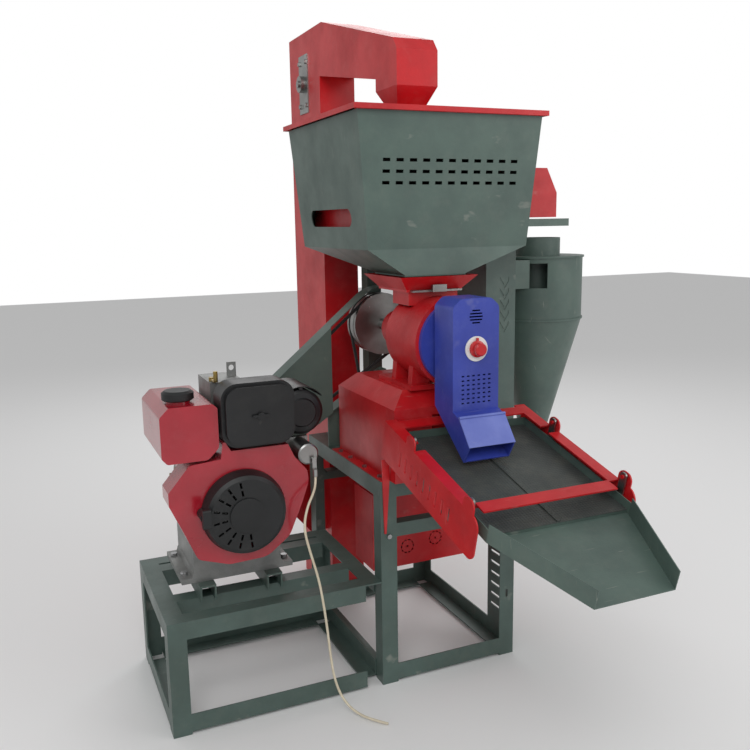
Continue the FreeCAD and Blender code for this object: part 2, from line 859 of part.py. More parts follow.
def air_cleaner():
    """Black pressed air cleaner: flared body, domed cover and wing nut."""
    left, width, low, height = s.cleaner_left, s.cleaner_width, s.cleaner_bottom, s.cleaner_height
    front, depth = s.cleaner_front, s.cleaner_depth
    outline = [(left, low), (left + width, low), (left + width, low + height), (left, low + height)]
    body = extrude("y", outline, front + 18, depth - 18, {0: 44, 1: 44, 2: 44, 3: 44})
    inner = [(left + 9, low + 9), (left + width - 9, low + 9), (left + width - 9, low + height - 9), (left + 9, low + height - 9)]
    cover = extrude("y", inner, front, 18, {0: 38, 1: 38, 2: 38, 3: 38})
    x, z = left + width / 2, low + height / 2
    stud = rod("y", x, front - 10, z, 4, 10)
    nut = fuse(rod("y", x, front - 9, z, 9, 9), box(x - 22, front - 8, z - 3, 44, 5, 6))
    horn_length = s.crankcase_front + 28 - front - depth
    horn = rod("y", x, front + depth, z, 24, horn_length)
    subpart("air_cleaner", body, cover, fuse(stud, nut), horn)


def muffler():
    """Round muffler lying along the engine, with its inlet and tail stub."""
    x, z = s.muffler_x, s.muffler_z
    front, length, radius = s.muffler_front, s.muffler_length, s.muffler_radius
    drum = turned("y", x, front, z, [
        (0, 0), (0, radius - 26), (5, radius - 22), (8, radius - 8), (14, radius), (length - 14, radius),
        (length, radius - 12), (length, 0),
    ])
    inlet_left = s.crank_x + s.fin_block_width / 2
    inlet = rod("x", inlet_left - 8, s.crankcase_front + 100, z - 22, 17, x - inlet_left)
    subpart("muffler", fuse(drum, inlet))


def muffler_guard():
    """Perforated heat shield bent over the muffler's upper left side."""
    x, z = s.muffler_x, s.muffler_z
    inner = s.muffler_radius + s.guard_gap
    outer = inner + s.guard_sheet
    front, length = s.muffler_front + 6, s.muffler_length - 60
    ring = cut(rod("y", x, front, z, outer, length), rod("y", x, front - 1, z, inner, length + 2))
    away = box(x - outer - 1, front - 1, z - outer - 1, 2 * outer + 2, length + 2, outer + 1)
    side = box(x + outer * 0.8, front - 1, z - 1, outer, length + 2, outer + 2)
    slots = []
    for step in range(4):
        for turn in (112, 140, 160):
            slot = box(0, 0, 0, 40, 24, 9)
            angle = math.radians(turn)
            place(slot, x + (inner - 12) * math.cos(angle) + 4.5 * math.sin(angle), front + 22 + step * 38,
                  z + (inner - 12) * math.sin(angle) - 4.5 * math.cos(angle), FreeCAD.Rotation(Vector(0, 1, 0), -turn))
            slots.append(slot)
    feet = []
    for y in (front + 4, front + length - 16):
        block = box(x - 5, y, z + s.muffler_radius - 6, 10, 12, s.guard_gap + 8)
        fitted = common(block, rod("y", x, y - 1, z, inner, 14))
        feet.append(cut(fitted, rod("y", x, y - 1, z, s.muffler_radius, 14)))
    subpart("muffler_guard", cut(ring, away, side, *slots), *feet)


def starter_motor():
    """Electric starter beside the cowl: motor barrel, nose flange and terminal."""
    x, z, radius = s.starter_x, s.starter_z, s.starter_radius
    flange_y = s.crankcase_front + 2
    length = flange_y - s.starter_front
    barrel = turned("y", x, s.starter_front, z, [(0, 0), (0, radius - 4), (3, radius), (length, radius), (length, 0)])
    flange_left = s.crank_x + 55
    seat = s.crank_z + s.crankcase_width / 2 - 10
    flange = box(flange_left, flange_y, seat, x + radius - flange_left, 16, z + radius - seat)
    stud = rod("y", x + 12, s.starter_front - 10, z - 14, 4, 10)
    tongue = box(x + 6, s.starter_front - 12, z - 44, 12, 2, 36)
    crimp = rod("z", x + 12, s.starter_front - 16, z - 60, 6.5, 20)
    subpart("starter_motor", barrel, flange, stud, fuse(tongue, crimp))


def speed_lever():
    """Speed lever on its pivot at the engine's left side."""
    x = s.crank_x - s.crankcase_width / 2 - 26
    y, z = s.crankcase_front + 40, s.crank_z + 20
    arm = extrude("x", [(y - 8, z - 8), (y + 8, z - 8), (y + 6, z + 74), (y - 6, z + 74)], x - 5, 5, {0: 7, 1: 7, 2: 5, 3: 5})
    bore = rod("x", x - 6, y, z, 5 + s.running_gap, 8)
    knob = rod("x", x - 17, y, z + 64, 8, 12)
    subpart("speed_lever", cut(fuse(arm, knob), bore))


def injection_pump():
    """Fuel injection pump and governor housing, with the pivot stud of the speed lever."""
    x = s.crank_x - s.crankcase_width / 2
    y, z = s.crankcase_front + 40, s.crank_z + 20
    block = box(x - 26 + s.lever_gap, y - 34, z - 44, 26 - s.lever_gap, 88, 70)
    pump = rod("z", x - 14, y + 24, z + 26, 12, 52)
    pivot = rod("x", x - 38, y, z, 5, 38)
    nut = hexagon("x", x - 38, y, z, 15, 6.6)
    filler = rod("x", x - 18, y - 20, z - 74, 14, 18)
    return [fuse(block, pivot, nut), pump, filler]


def decompression_lever():
    """Short lever on the head cover that lifts the valve for starting."""
    low = s.crank_z + s.crankcase_width / 2 - 10 + s.fin_count * s.fin_pitch + 2 + s.head_height + s.lever_gap
    x, y = s.crank_x - 34, s.crankcase_front + 60
    hub = rod("z", x, y, low, 9, 10)
    arm = box(x - 6, y - 46, low + 3, 12, 46, 4)
    tip = rod("z", x, y - 44, low + 7, 6, 26)
    subpart("decompression_lever", fuse(hub, arm, tip))


# ---------------------------------------------------------------- mill

def mill_base():
    """Sheet base over the frame: straight sides, hipped roof, flanges and a front window."""
    left, front, wall = s.base_left, s.base_front, s.sheet
    width, depth = s.base_width, s.base_depth
    low, shoulder = s.main_height, s.main_height + s.base_height
    roof = shoulder + s.base_roof_rise
    inset = s.base_roof_inset
    roof_box = (left + inset, front + inset, width - 2 * inset, depth - 2 * inset)
    outer = fuse(
        box(left, front, low, width, depth, s.base_height),
        frustum((left, front, width, depth), shoulder, roof_box, roof),
    )
    inner = fuse(
        box(left + wall, front + wall, low - 1, width - 2 * wall, depth - 2 * wall, s.base_height + 1),
        frustum(
            (left + wall, front + wall, width - 2 * wall, depth - 2 * wall), shoulder,
            (roof_box[0] + wall, roof_box[1] + wall, roof_box[2] - 2 * wall, roof_box[3] - 2 * wall), roof - wall,
        ),
    )
    window_x = left + (width - s.base_window_width) / 2
    window_z = shoulder - s.base_window_height - 22
    window = box(window_x, front - 1, window_z, s.base_window_width, wall + 2, s.base_window_height)
    mouth = box(left + inset + 60, front + inset + 60, roof - wall - 1, width - 2 * inset - 120, 90, wall + 2)
    shell = cut(outer, inner, window, mouth)
    flanges = [box(left - s.base_flange, 0, low, s.base_flange, front + depth, wall),
               box(left + width, 0, low, s.base_flange, front + depth, wall)]
    subpart("mill_base", shell, *flanges)


def mill_stand():
    """Cast stand on the base's roof: two curved legs under a cradle for the milling cylinder."""
    roof = s.main_height + s.base_height + s.base_roof_rise
    x, z = s.mill_x, s.mill_z
    cradle_front = s.mill_front + s.flange_thickness
    cradle_length = s.mill_length - s.flange_thickness
    foot = box(x - 110, cradle_front + 62, roof, 220, cradle_length - 62 + s.bearing_gap, s.foot_thickness)
    webs = []
    for y in (cradle_front + 76, cradle_front + cradle_length - 40):
        outline = [
            (x - 100, roof + s.foot_thickness), (x + 100, roof + s.foot_thickness),
            (x + 92, z - 20), (x - 92, z - 20),
        ]
        webs.append(extrude("y", outline, y, 26))
    seat = rod("y", x, cradle_front - 1, z, s.mill_radius, s.mill_length + 160)
    arches = rod("y", x, cradle_front + 60, roof + 34, 42, 200)
    web = cut(fuse(foot, *webs), seat)
    pocket = box(x - 44, cradle_front + 61, roof + s.foot_thickness, 88, cradle_length, 30)
    pedestal_y = s.mill_front + s.mill_length + s.bearing_gap - 30
    pedestal = box(x - 34, pedestal_y, roof + s.foot_thickness, 68, 30, z - s.bearing_radius + 8 - roof - s.foot_thickness)
    bearing_room = rod("y", x, pedestal_y - 1, z, s.bearing_radius, 80)
    subpart("mill_stand", cut(web, pocket, arches), cut(pedestal, bearing_room))


def milling_cylinder():
    """Cast milling cylinder with its inlet collar, end wall and collar ribs."""
    x, z, wall = s.mill_x, s.mill_z, s.mill_wall
    front, length = s.mill_front + s.flange_thickness, s.mill_length - s.flange_thickness
    barrel = turned("y", x, front, z, [
        (0, s.sieve_radius + 14), (0, s.mill_radius + 6), (12, s.mill_radius + 6), (12, s.mill_radius),
        (length - 16, s.mill_radius), (length, s.mill_radius - 16), (length, s.shaft_radius + 8),
        (length - wall, s.shaft_radius + 8), (length - wall, s.mill_radius - wall - 10),
        (length - 20, s.mill_radius - wall), (16, s.mill_radius - wall), (16, s.sieve_radius + 14),
    ])
    collar_low, collar_high = z + s.mill_radius - 24, s.inlet_bottom - s.gate_thickness - 2 * s.gate_gap
    collar_x, collar_y = s.inlet_left + 22, s.inlet_back - s.inlet_depth + 20
    collar = box(collar_x - 12, collar_y - 12, collar_low, s.inlet_width - 20, 104, collar_high - collar_low)
    hole = box(collar_x, collar_y, z + 40, s.inlet_width - 44, 80, s.inlet_bottom - z)
    below = rod("y", x, front - 1, z, s.mill_radius - 2, length + 2)
    neck = cut(collar, below)
    subpart("milling_cylinder", cut(fuse(barrel, neck), hole))


def mill_sieve():
    """Slotted sieve around the milling roller."""
    x, z = s.mill_x, s.mill_z
    front, length = s.mill_front + s.flange_thickness + 16, s.mill_length - s.flange_thickness - 40
    ring = tube("y", x, front, z, s.sieve_radius, s.sieve_wall, length)
    ends = [tube("y", x, y, z, s.mill_radius - s.mill_wall, s.mill_radius - s.mill_wall - s.sieve_radius + 1, 6)
            for y in (front, front + length - 6)]
    cutters = []
    for index in range(8):
        angle = math.radians(22.5 + index * 45)
        for row in range(4):
            slot = box(0, 0, 0, 12, 28, 10)
            place(slot, x + (s.sieve_radius - 6) * math.cos(angle), front + 18 + row * 42, z + (s.sieve_radius - 6) * math.sin(angle),
                  FreeCAD.Rotation(Vector(0, 1, 0), -math.degrees(angle)))
            cutters.append(slot)
    hole = box(x - 50, front + 10, z + 30, 100, 110, 80)
    subpart("mill_sieve", cut(fuse(ring, *ends), hole, *cutters))


def mill_bearings():
    """Two bearing housings that carry the mill shaft behind the cylinder."""
    x, z = s.mill_x, s.mill_z
    front = s.mill_front + s.mill_length
    bore = s.shaft_radius + s.running_gap
    neck = turned("y", x, front, z, [
        (0, bore), (0, s.mill_radius - 22), (8, s.mill_radius - 22), (8, s.bearing_radius - 14),
        (s.bearing_gap - 30, s.bearing_radius - 14), (s.bearing_gap - 30, s.bearing_radius),
        (s.bearing_gap + s.bearing_length, s.bearing_radius), (s.bearing_gap + s.bearing_length + 8, s.bearing_radius - 10),
        (s.bearing_gap + s.bearing_length + 8, bore),
    ])
    cap = hexagon("z", x, front + s.bearing_gap + 30, z + s.bearing_radius - 3, 16, 14)
    subpart("mill_bearings", fuse(neck, cap))


def mill_rotor():
    """Milling roller with its ribs on the shaft, and the two-groove pulley at the back."""
    x, z = s.mill_x, s.mill_z
    roller_front = s.mill_front + s.flange_thickness + 20
    roller_length = s.mill_length - s.flange_thickness - 50
    end = s.mill_pulley_front + s.mill_pulley_width
    shaft = rod("y", x, roller_front - 10, z, s.shaft_radius, end + 8 - roller_front + 10)
    roller = rod("y", x, roller_front, z, s.rotor_radius, roller_length)
    ribs = []
    for index in range(SIZES["rotor_rib_count"]):
        angle = 360 / SIZES["rotor_rib_count"] * index + 30
        turn = math.radians(angle)
        rib = box(0, 0, 0, s.rotor_rib_height + 4, roller_length, 10)
        reach = s.rotor_radius - 4
        place(rib, x + reach * math.cos(turn) + 5 * math.sin(turn), roller_front, z + reach * math.sin(turn) - 5 * math.cos(turn),
              FreeCAD.Rotation(Vector(0, 1, 0), -angle))
        ribs.append(rib)
    pulley = v_pulley(x, s.mill_pulley_front, z, s.mill_pulley_radius, s.mill_pulley_width, pulley_grooves())
    subpart("mill_rotor", fuse(shaft, roller, *ribs, pulley))


def pulley_grooves():
    """Groove offsets on the mill pulley: engine belt in front, blower belt behind."""
    return (-(s.mill_pulley_width / 4), s.mill_pulley_width / 4)


def outlet_flange():
    """Flange between the milling cylinder and the outlet head."""
    x, z = s.mill_x, s.mill_z
    front = s.mill_front
    ring = tube("y", x, front, z, s.flange_radius, s.flange_radius - s.neck_radius + 10, s.flange_thickness)
    subpart("outlet_flange", ring)


def outlet_head():
    """Folded outlet box: arched top, round grille, perforated panel and a forward chute."""
    left, front, wall = s.head_left, s.head_front, s.heavy_sheet
    width, depth, low, high = s.head_width, s.head_depth, s.head_bottom, s.head_top
    back = front + depth
    outline = [
        (left, low), (left + width, low), (left + width, high - 4), (left + width - 24, high + s.head_arch - 4),
        (left + 24, high + s.head_arch - 4), (left, high - 4),
    ]
    block = extrude("y", outline, front, depth, {2: 18, 3: 26, 4: 26, 5: 18})
    room = box(left + wall, front + wall, low - 1, width - 2 * wall, depth - wall - 1, high - low - 10)
    rear_hole = rod("y", s.mill_x, back - 6, s.mill_z, 46, 12)
    middle = left + width / 2
    grille = []
    for step in range(-2, 3):
        half = math.sqrt(20 ** 2 - (step * 8) ** 2)
        grille.append(box(middle - half, front - 1, high - 30 + step * 8 - 2, 2 * half, wall + 2, 4))
    holes = []
    for column in range(6):
        for row in range(7):
            holes.append(box(left + 26 + column * 16, front - 1, low + 18 + row * 12, 8, wall + 2, 4))
    shell = cut(block, room, rear_hole, fuse(*grille), fuse(*holes))
    brow, chin, lip = chute_corners()
    side_outline = [(back, low), (front, low), brow, chin, lip]
    sides = [extrude("x", side_outline, x, wall) for x in (left, left + width - wall)]
    spout = extrude("x", [(back, low), (back - 6, low), (lip[0] - 2, lip[1] + 3), lip], left + wall, width - 2 * wall)
    brow_plate = extrude("x", [(front, low), brow, (brow[0] + 2, brow[1] - 3), (front + 2, low - 3)], left + wall, width - 2 * wall)
    subpart("outlet_head", shell, *sides, spout, brow_plate, neck_of_head())


def chute_corners():
    """Side profile of the head's chute, as (y, z): brow, chin and lower lip."""
    front, low = s.head_front, s.head_bottom
    return (front - 30, low - 12), (front - 84, low - 78), (front - 56, low - 122)


def neck_of_head():
    """Collar from the head's back to the flange."""
    back = s.head_front + s.head_depth
    return tube("y", s.mill_x, back, s.mill_z, s.neck_radius, 10, s.mill_front - back)


def dial_plate():
    """Round scale plate under the pressure knob."""
    middle = s.head_left + s.head_width / 2
    plate = tube("y", middle, s.head_front - s.dial_depth, s.mill_z, s.dial_radius, s.dial_radius - 8, s.dial_depth)
    subpart("dial_plate", plate)


def pressure_knob():
    """Knob that sets the outlet pressure, with a pointer and a shaft into the head."""
    middle = s.head_left + s.head_width / 2
    front = s.head_front - s.dial_depth - s.lever_gap - s.knob_length
    knob = turned("y", middle, front, s.mill_z, [
        (0, 0), (0, s.knob_radius - 3), (3, s.knob_radius), (s.knob_length - 8, s.knob_radius),
        (s.knob_length - 6, s.knob_radius + 5), (s.knob_length, s.knob_radius + 5), (s.knob_length, 0),
    ])
    stem = rod("y", middle, front + s.knob_length - 1, s.mill_z, 6, s.dial_depth + s.lever_gap + 1)
    pointer = box(middle - 3, front + s.knob_length - 6, s.mill_z + s.knob_radius, 6, 5, 12)
    subpart("pressure_knob", fuse(knob, stem, pointer))


def outlet_flap():
    """Flap hinged at the brow, lying over the front edges of the chute's sides."""
    brow, chin, lip = chute_corners()
    run_y, run_z = chin[0] - brow[0], chin[1] - brow[1]
    length = root(run_y * run_y + run_z * run_z)
    along_y, along_z = run_y / length, run_z / length
    out_y, out_z = along_z, -along_y
    near, far = s.flap_gap + 1, s.flap_gap + 1 + s.flap_thickness
    outline = [
        (brow[0] + out_y * near, brow[1] + out_z * near), (chin[0] + out_y * near, chin[1] + out_z * near),
        (chin[0] + out_y * far, chin[1] + out_z * far), (brow[0] + out_y * far, brow[1] + out_z * far),
    ]
    plate = extrude("x", outline, s.head_left, s.head_width)
    reach = s.flap_gap + 4
    barrel = rod("x", s.head_left, brow[0] + out_y * reach, brow[1] + out_z * reach, 4, s.head_width)
    subpart("outlet_flap", fuse(plate, barrel))


def inlet_funnel():
    """Flared funnel on the mill's inlet collar."""
    left, width, depth = s.inlet_left, s.inlet_width, s.inlet_depth
    front, wall, flare = s.inlet_back - s.inlet_depth, s.sheet, s.inlet_flare
    low, high = s.inlet_bottom, s.inlet_top
    outer = frustum((left, front, width, depth), low, (left - flare, front - flare, width + 2 * flare, depth + 2 * flare), high)
    inner = frustum(
        (left + 2 * wall, front + 2 * wall, width - 4 * wall, depth - 4 * wall), low - 0.01,
        (left - flare + wall, front - flare + wall, width + 2 * (flare - wall), depth + 2 * (flare - wall)), high + 0.01,
    )
    gap = s.gate_thickness + 2 * s.gate_gap
    cheeks = [box(x, front, low - gap, 10, depth, gap) for x in (left, left + width - 10)]
    subpart("inlet_funnel", cut(outer, inner), *cheeks)


def feed_gate():
    """Slide plate under the funnel with its pull lug."""
    left, width = s.inlet_left + 10 + s.gate_gap, s.inlet_width - 20 - 2 * s.gate_gap
    low = s.inlet_bottom - s.gate_thickness - s.gate_gap
    front = s.inlet_back - s.gate_length - 66
    plate = box(left, front, low, width, s.gate_length, s.gate_thickness)
    lug = box(left + width / 2 - 22, front - 12, low, 44, 12, 20)
    subpart("feed_gate", fuse(plate, lug))


# ---------------------------------------------------------------- hopper and paddy screen

def hopper_rectangles():
    """Body's top and bottom rectangles as (left, front, width, depth)."""
    inset = s.lid_overhang
    top = (s.hopper_left + inset, s.hopper_front + inset, s.hopper_width - 2 * inset, s.hopper_depth - 2 * inset)
    bottom = (top[0] + s.hopper_side_slope, top[1] + s.hopper_front_slope,
              top[2] - 2 * s.hopper_side_slope + 22, top[3] - s.hopper_front_slope)
    return top, bottom


def shrunk(rectangle):
    """Rectangle inside the walls of one given as (left, front, width, depth)."""
    left, front, width, depth = rectangle
    return left + s.sheet, front + s.sheet, width - 2 * s.sheet, depth - 2 * s.sheet


def hopper_body():
    """Tapered sheet body with the slot in its left side and the plain slots in its front."""
    top, bottom = hopper_rectangles()
    wall = s.sheet
    low, high = s.hopper_bottom, s.hopper_top - s.lid_rim
    outer = frustum(bottom, low, top, high)
    inner = frustum(shrunk(bottom), low - 0.01, shrunk(top), high + 0.01)
    slot_z = s.slot_bottom + s.slot_height / 2
    slot = oblong("x", bottom[1] + 90 + s.slot_length / 2, slot_z, s.hopper_left, s.slot_length, s.slot_height, 100)
    bars = []
    for index in range(11):
        middle = top[0] + 78 + index * 40
        bars.append(box(middle, s.hopper_front, high - 190, 22, 60, 9))
        bars.append(box(middle, s.hopper_front, high - 160, 22, 60, 9))
        bars.append(box(middle, s.hopper_front, high - 130, 22, 60, 9))
    ledge = []
    for y in (bottom[1] + wall, bottom[1] + bottom[3] - wall - 20):
        ledge.append(box(bottom[0] + 40, y, low, bottom[2] - 80, 20, s.slot_bottom - low - 22))
    subpart("hopper_body", cut(outer, inner, slot, *bars), *ledge)


def hopper_lid():
    """Flat lid with a turned-down rim, open under the elevator spout."""
    left, front, width, depth = s.hopper_left, s.hopper_front, s.hopper_width, s.hopper_depth
    low, wall = s.hopper_top - s.lid_rim, s.sheet
    outer = box(left, front, low, width, depth, s.lid_rim)
    inner = box(left + wall, front + wall, low - 1, width - 2 * wall, depth - 2 * wall, s.lid_rim + 1 - wall)
    skin = cut(outer, inner)
    mouth = shrunk(spout_mouth())
    hole = box(mouth[0], mouth[1], low - 1, mouth[2], mouth[3], s.lid_rim + 2)
    bearers = []
    top, bottom = hopper_rectangles()
    for y in (top[1], top[1] + top[3] - 16):
        bearers.append(box(top[0], y, low, top[2], 16, s.lid_rim - wall))
    subpart("hopper_lid", cut(skin, hole), *bearers)


def spout_x():
    """Middle of the elevator's arm and spout."""
    return s.elevator_left + s.elevator_width / 2


def funnel_shape():
    """Outer taper between the hopper's floor and its throat."""
    top, bottom = hopper_rectangles()
    return frustum((s.throat_left, s.throat_front, s.throat_width, s.throat_depth), s.throat_bottom, bottom, s.hopper_bottom)


def hopper_funnel():
    """Funnel from the hopper's floor into the mill's inlet."""
    top, bottom = hopper_rectangles()
    wall = s.sheet
    throat = (s.throat_left, s.throat_front, s.throat_width, s.throat_depth)
    outer = funnel_shape()
    inner = frustum(shrunk(throat), s.throat_bottom - 0.01, shrunk(bottom), s.hopper_bottom + 0.01)
    skirt_low = s.inlet_top
    skirt = cut(
        box(throat[0], throat[1], skirt_low, throat[2], throat[3], s.throat_bottom - skirt_low),
        box(throat[0] + wall, throat[1] + wall, skirt_low - 1, throat[2] - 2 * wall, throat[3] - 2 * wall, s.throat_bottom - skirt_low + 2),
    )
    subpart("hopper_funnel", fuse(cut(outer, inner), skirt))


def paddy_screen():
    """Sliding paddy screen: red tray with a mesh floor and an upturned rim."""
    top, bottom = hopper_rectangles()
    low = s.slot_bottom - 22 + s.running_gap
    left, width = bottom[0] + 34, bottom[2] - 68
    front, depth = bottom[1] + 14, bottom[3] - 28
    wall = s.sheet
    outer = box(left, front, low, width, depth, s.slot_height + 30)
    inner = box(left + wall, front + wall, low + wall, width - 2 * wall, depth - 2 * wall, s.slot_height + 30)
    slots = []
    for row in range(8):
        for column in range(4):
            slots.append(box(left + 40 + row * 48, front + 90 + column * 100, low - 1, 26, 80, wall + 2))
    subpart("paddy_screen", cut(outer, inner, fuse(*slots)))


def impurity_chute():
    """Flat chute that carries stones and straw out to the right of the hopper."""
    top, bottom = hopper_rectangles()
    low = s.slot_bottom - 8
    share = (low + s.chute_height - s.hopper_bottom) / (s.hopper_top - s.lid_rim - s.hopper_bottom)
    low_right, high_right = bottom[0] + bottom[2], top[0] + top[2]
    left = low_right + (high_right - low_right) * share
    front = bottom[1] - 4
    outline = [(left, front), (left + s.chute_length, front), (left + s.chute_length, front + 60), (left, front + 90)]
    plate = extrude("z", outline, low, s.heavy_sheet)
    lip = box(left, front, low, s.chute_length, s.sheet, s.chute_height)
    subpart("impurity_chute", fuse(plate, lip))


def hopper_posts():
    """Folded right post with its row of chevrons, and the box post at the back."""
    wall = s.sheet
    left, width, front, depth = s.post_left, s.post_width, s.post_front, s.post_depth
    top, bottom = hopper_rectangles()
    low, high = s.main_height, s.hopper_bottom
    outline = [
        (left, front), (left + width, front), (left + width, front + wall), (left + wall, front + wall),
        (left + wall, front + depth - wall), (left + width, front + depth - wall), (left + width, front + depth), (left, front + depth),
    ]
    column = extrude("z", outline, low, high - low)
    chevrons = []
    middle = left + width * 0.62
    for index in range(SIZES["chevron_count"]):
        z = high - 108 - index * s.chevron_pitch
        rise, reach = s.chevron_rise, 16
        shape = [
            (middle - reach, z), (middle, z - rise), (middle + reach, z),
            (middle + reach, z + s.chevron_width), (middle, z + s.chevron_width - rise), (middle - reach, z + s.chevron_width),
        ]
        chevrons.append(extrude("y", shape, front - 1, wall + 2))
    seat = box(left, front, low, s.main_width - left, depth, wall)
    rear = cut(
        box(s.rear_post_left, s.rear_post_front, low, s.rear_post_width, s.rear_post_depth, high - low),
        box(s.rear_post_left + wall, s.rear_post_front + wall, low - 1, s.rear_post_width - 2 * wall, s.rear_post_depth - 2 * wall, high - low + 2),
    )
    slot = oblong("y", s.rear_post_left + s.rear_post_width / 2, high - 60, s.rear_post_front - 1, 40, 10, wall + 2, upright=True)
    subpart("hopper_posts", cut(column, funnel_shape(), *chevrons), cut(rear, slot, funnel_shape()))


# ---------------------------------------------------------------- bucket elevator

def elevator_casing():
    """Sheet trunk with its forward arm, hollow for the bucket belt."""
    left, width, wall = s.elevator_left, s.elevator_width, s.sheet
    front, back = s.elevator_front, s.elevator_front + s.elevator_depth
    high, low = s.elevator_top, s.elevator_bottom
    outer = box(left, front, low, width, back - front, high - low)
    inner = box(left + wall, front + wall, low + wall, width - 2 * wall, back - front - 2 * wall, high - low - 2 * wall)
    bores = [rod("x", left - 1, s.drum_y, z, s.drum_shaft_radius + 6, width + 2) for z in (s.head_shaft_z, s.boot_shaft_z)]
    feed = box(left - 1, front + 60, s.boot_shaft_z + 110, wall + 2, 170, 90)
    throw = box(left + wall, front - 1, s.arm_under_back + wall, width - 2 * wall, wall + 2, high - s.arm_under_back - 2 * wall)
    subpart("elevator_casing", cut(outer, inner, *bores, feed, throw))


def elevator_arm():
    """Arm from the casing's head to the down-turned end over the hopper."""
    left, width, wall = s.elevator_left, s.elevator_width, s.sheet
    front, high = s.elevator_front, s.elevator_top
    near, far, low = s.spout_front, s.spout_front + s.spout_depth, s.spout_side_low
    roof_front = high - s.arm_roof_drop
    outer = extrude("x", [
        (near, low), (far, low), (far, s.arm_under_front), (front, s.arm_under_back), (front, high), (front - 25, high),
        (near + 25, roof_front), (near, roof_front - 31),
    ], left, width)
    inner = extrude("x", [
        (near + wall, low - 1), (far - wall, low - 1), (far - wall, s.arm_under_front + wall), (front + 1, s.arm_under_back + wall),
        (front + 1, high - wall), (front - 25, high - wall), (near + 26, roof_front - wall), (near + wall, roof_front - 32),
    ], left + wall, width - 2 * wall)
    subpart("elevator_arm", cut(outer, inner))


def spout_mouth():
    """Rectangle where the spout stands on the lid: (left, front, width, depth)."""
    return (
        s.elevator_left + s.spout_taper_x, s.spout_front + s.spout_taper_y,
        s.elevator_width - 2 * s.spout_taper_x, s.spout_depth - 2 * s.spout_taper_y,
    )


def elevator_spout():
    """Tapered four-sided spout under the arm's end, with a flange on the hopper's lid."""
    wall = s.sheet
    low, high = s.hopper_top, s.spout_side_low
    top = (s.elevator_left, s.spout_front, s.elevator_width, s.spout_depth)
    mouth = spout_mouth()
    outer = frustum(mouth, low, top, high)
    inner = frustum(shrunk(mouth), low - 0.01, shrunk(top), high + 0.01)
    subpart("elevator_spout", cut(outer, inner))


def takeup_bearings():
    """Take-up plates and flanged bearings of the elevator's two shafts."""
    left, width = s.elevator_left, s.elevator_width
    pieces = []
    bore = s.drum_shaft_radius + s.running_gap
    for z in (s.head_shaft_z, s.boot_shaft_z):
        for x, out in ((left - s.heavy_sheet, -1), (left + width, 1)):
            plate = box(x, s.drum_y - 42, z - 95, s.heavy_sheet, 84, 190)
            hub_x = x - 16 if out < 0 else x + s.heavy_sheet
            hub = rod("x", hub_x, s.drum_y, z, 27, 16)
            hole = rod("x", x - 30, s.drum_y, z, bore, 60)
            bolts = [hexagon("x", hub_x + 10 if out < 0 else x + s.heavy_sheet, s.drum_y + dy, z + dz, s.bolt_across, s.bolt_head)
                     for dy in (-30, 30) for dz in (-70, 70)]
            pieces.append(cut(fuse(plate, hub, *bolts), hole))
    subpart("takeup_bearings", *pieces)


def elevator_drums():
    """Head and boot drums on their shafts, end discs and slats."""
    x = spout_x()
    left, width = s.elevator_left, s.elevator_width
    for label, z in (("head_drum", s.head_shaft_z), ("boot_drum", s.boot_shaft_z)):
        drum = turned("x", x - s.drum_width / 2, s.drum_y, z, [
            (0, 0), (0, s.drum_radius), (s.drum_width, s.drum_radius), (s.drum_width, 0),
        ])
        shaft = rod("x", left - 26, s.drum_y, z, s.drum_shaft_radius, width + 52)
        subpart(label, fuse(drum, shaft))


def bucket_belt():
    """Flat belt round both drums with its buckets."""
    x, y = spout_x(), s.drum_y
    inner = s.drum_radius + s.belt_clearance
    outer = inner + s.belt_thickness
    wide = s.drum_width - 6
    left = x - wide / 2
    low, high = s.boot_shaft_z, s.head_shaft_z
    band = cut(
        fuse(rod("x", left, y, low, outer, wide), rod("x", left, y, high, outer, wide), box(left, y - outer, low, wide, 2 * outer, high - low)),
        fuse(rod("x", left - 1, y, low, inner, wide + 2), rod("x", left - 1, y, high, inner, wide + 2),
             box(left - 1, y - inner, low, wide + 2, 2 * inner, high - low)),
    )
    buckets = []
    reach, tall, wall = s.bucket_reach, s.bucket_height, s.sheet
    for index in range(7):
        z = low + 130 + index * s.bucket_pitch
        for side in (-1, 1):
            face = y + side * outer
            rise = 1 if side < 0 else -1
            outline = [
                (face, z), (face + side * reach * 0.6, z), (face + side * reach, z + rise * tall),
                (face + side * (reach - wall), z + rise * tall), (face + side * (reach * 0.6 - wall), z + rise * wall),
                (face + side * wall, z + rise * wall), (face + side * wall, z + rise * tall), (face, z + rise * tall),
            ]
            buckets.append(extrude("x", outline, left + 4, wide - 8))
    subpart("bucket_belt", band, *buckets)


def feed_boot():
    """Open feed hopper on the elevator's foot."""
    left = s.elevator_left - 190
    front, depth, wall = s.elevator_front + 50, 190, s.sheet
    low = s.boot_shaft_z + 100
    outer = extrude("y", [
        (s.elevator_left, low), (s.elevator_left, low + 230), (left, low + 230), (left, low + 150), (s.elevator_left - 60, low),
    ], front, depth)
    inner = extrude("y", [
        (s.elevator_left + 1, low + wall), (s.elevator_left + 1, low + 231), (left + wall, low + 231), (left + wall, low + 151),
        (s.elevator_left - 59, low + wall),
    ], front + wall, depth - 2 * wall)
    subpart("feed_boot", cut(outer, inner))


# ---------------------------------------------------------------- dust side

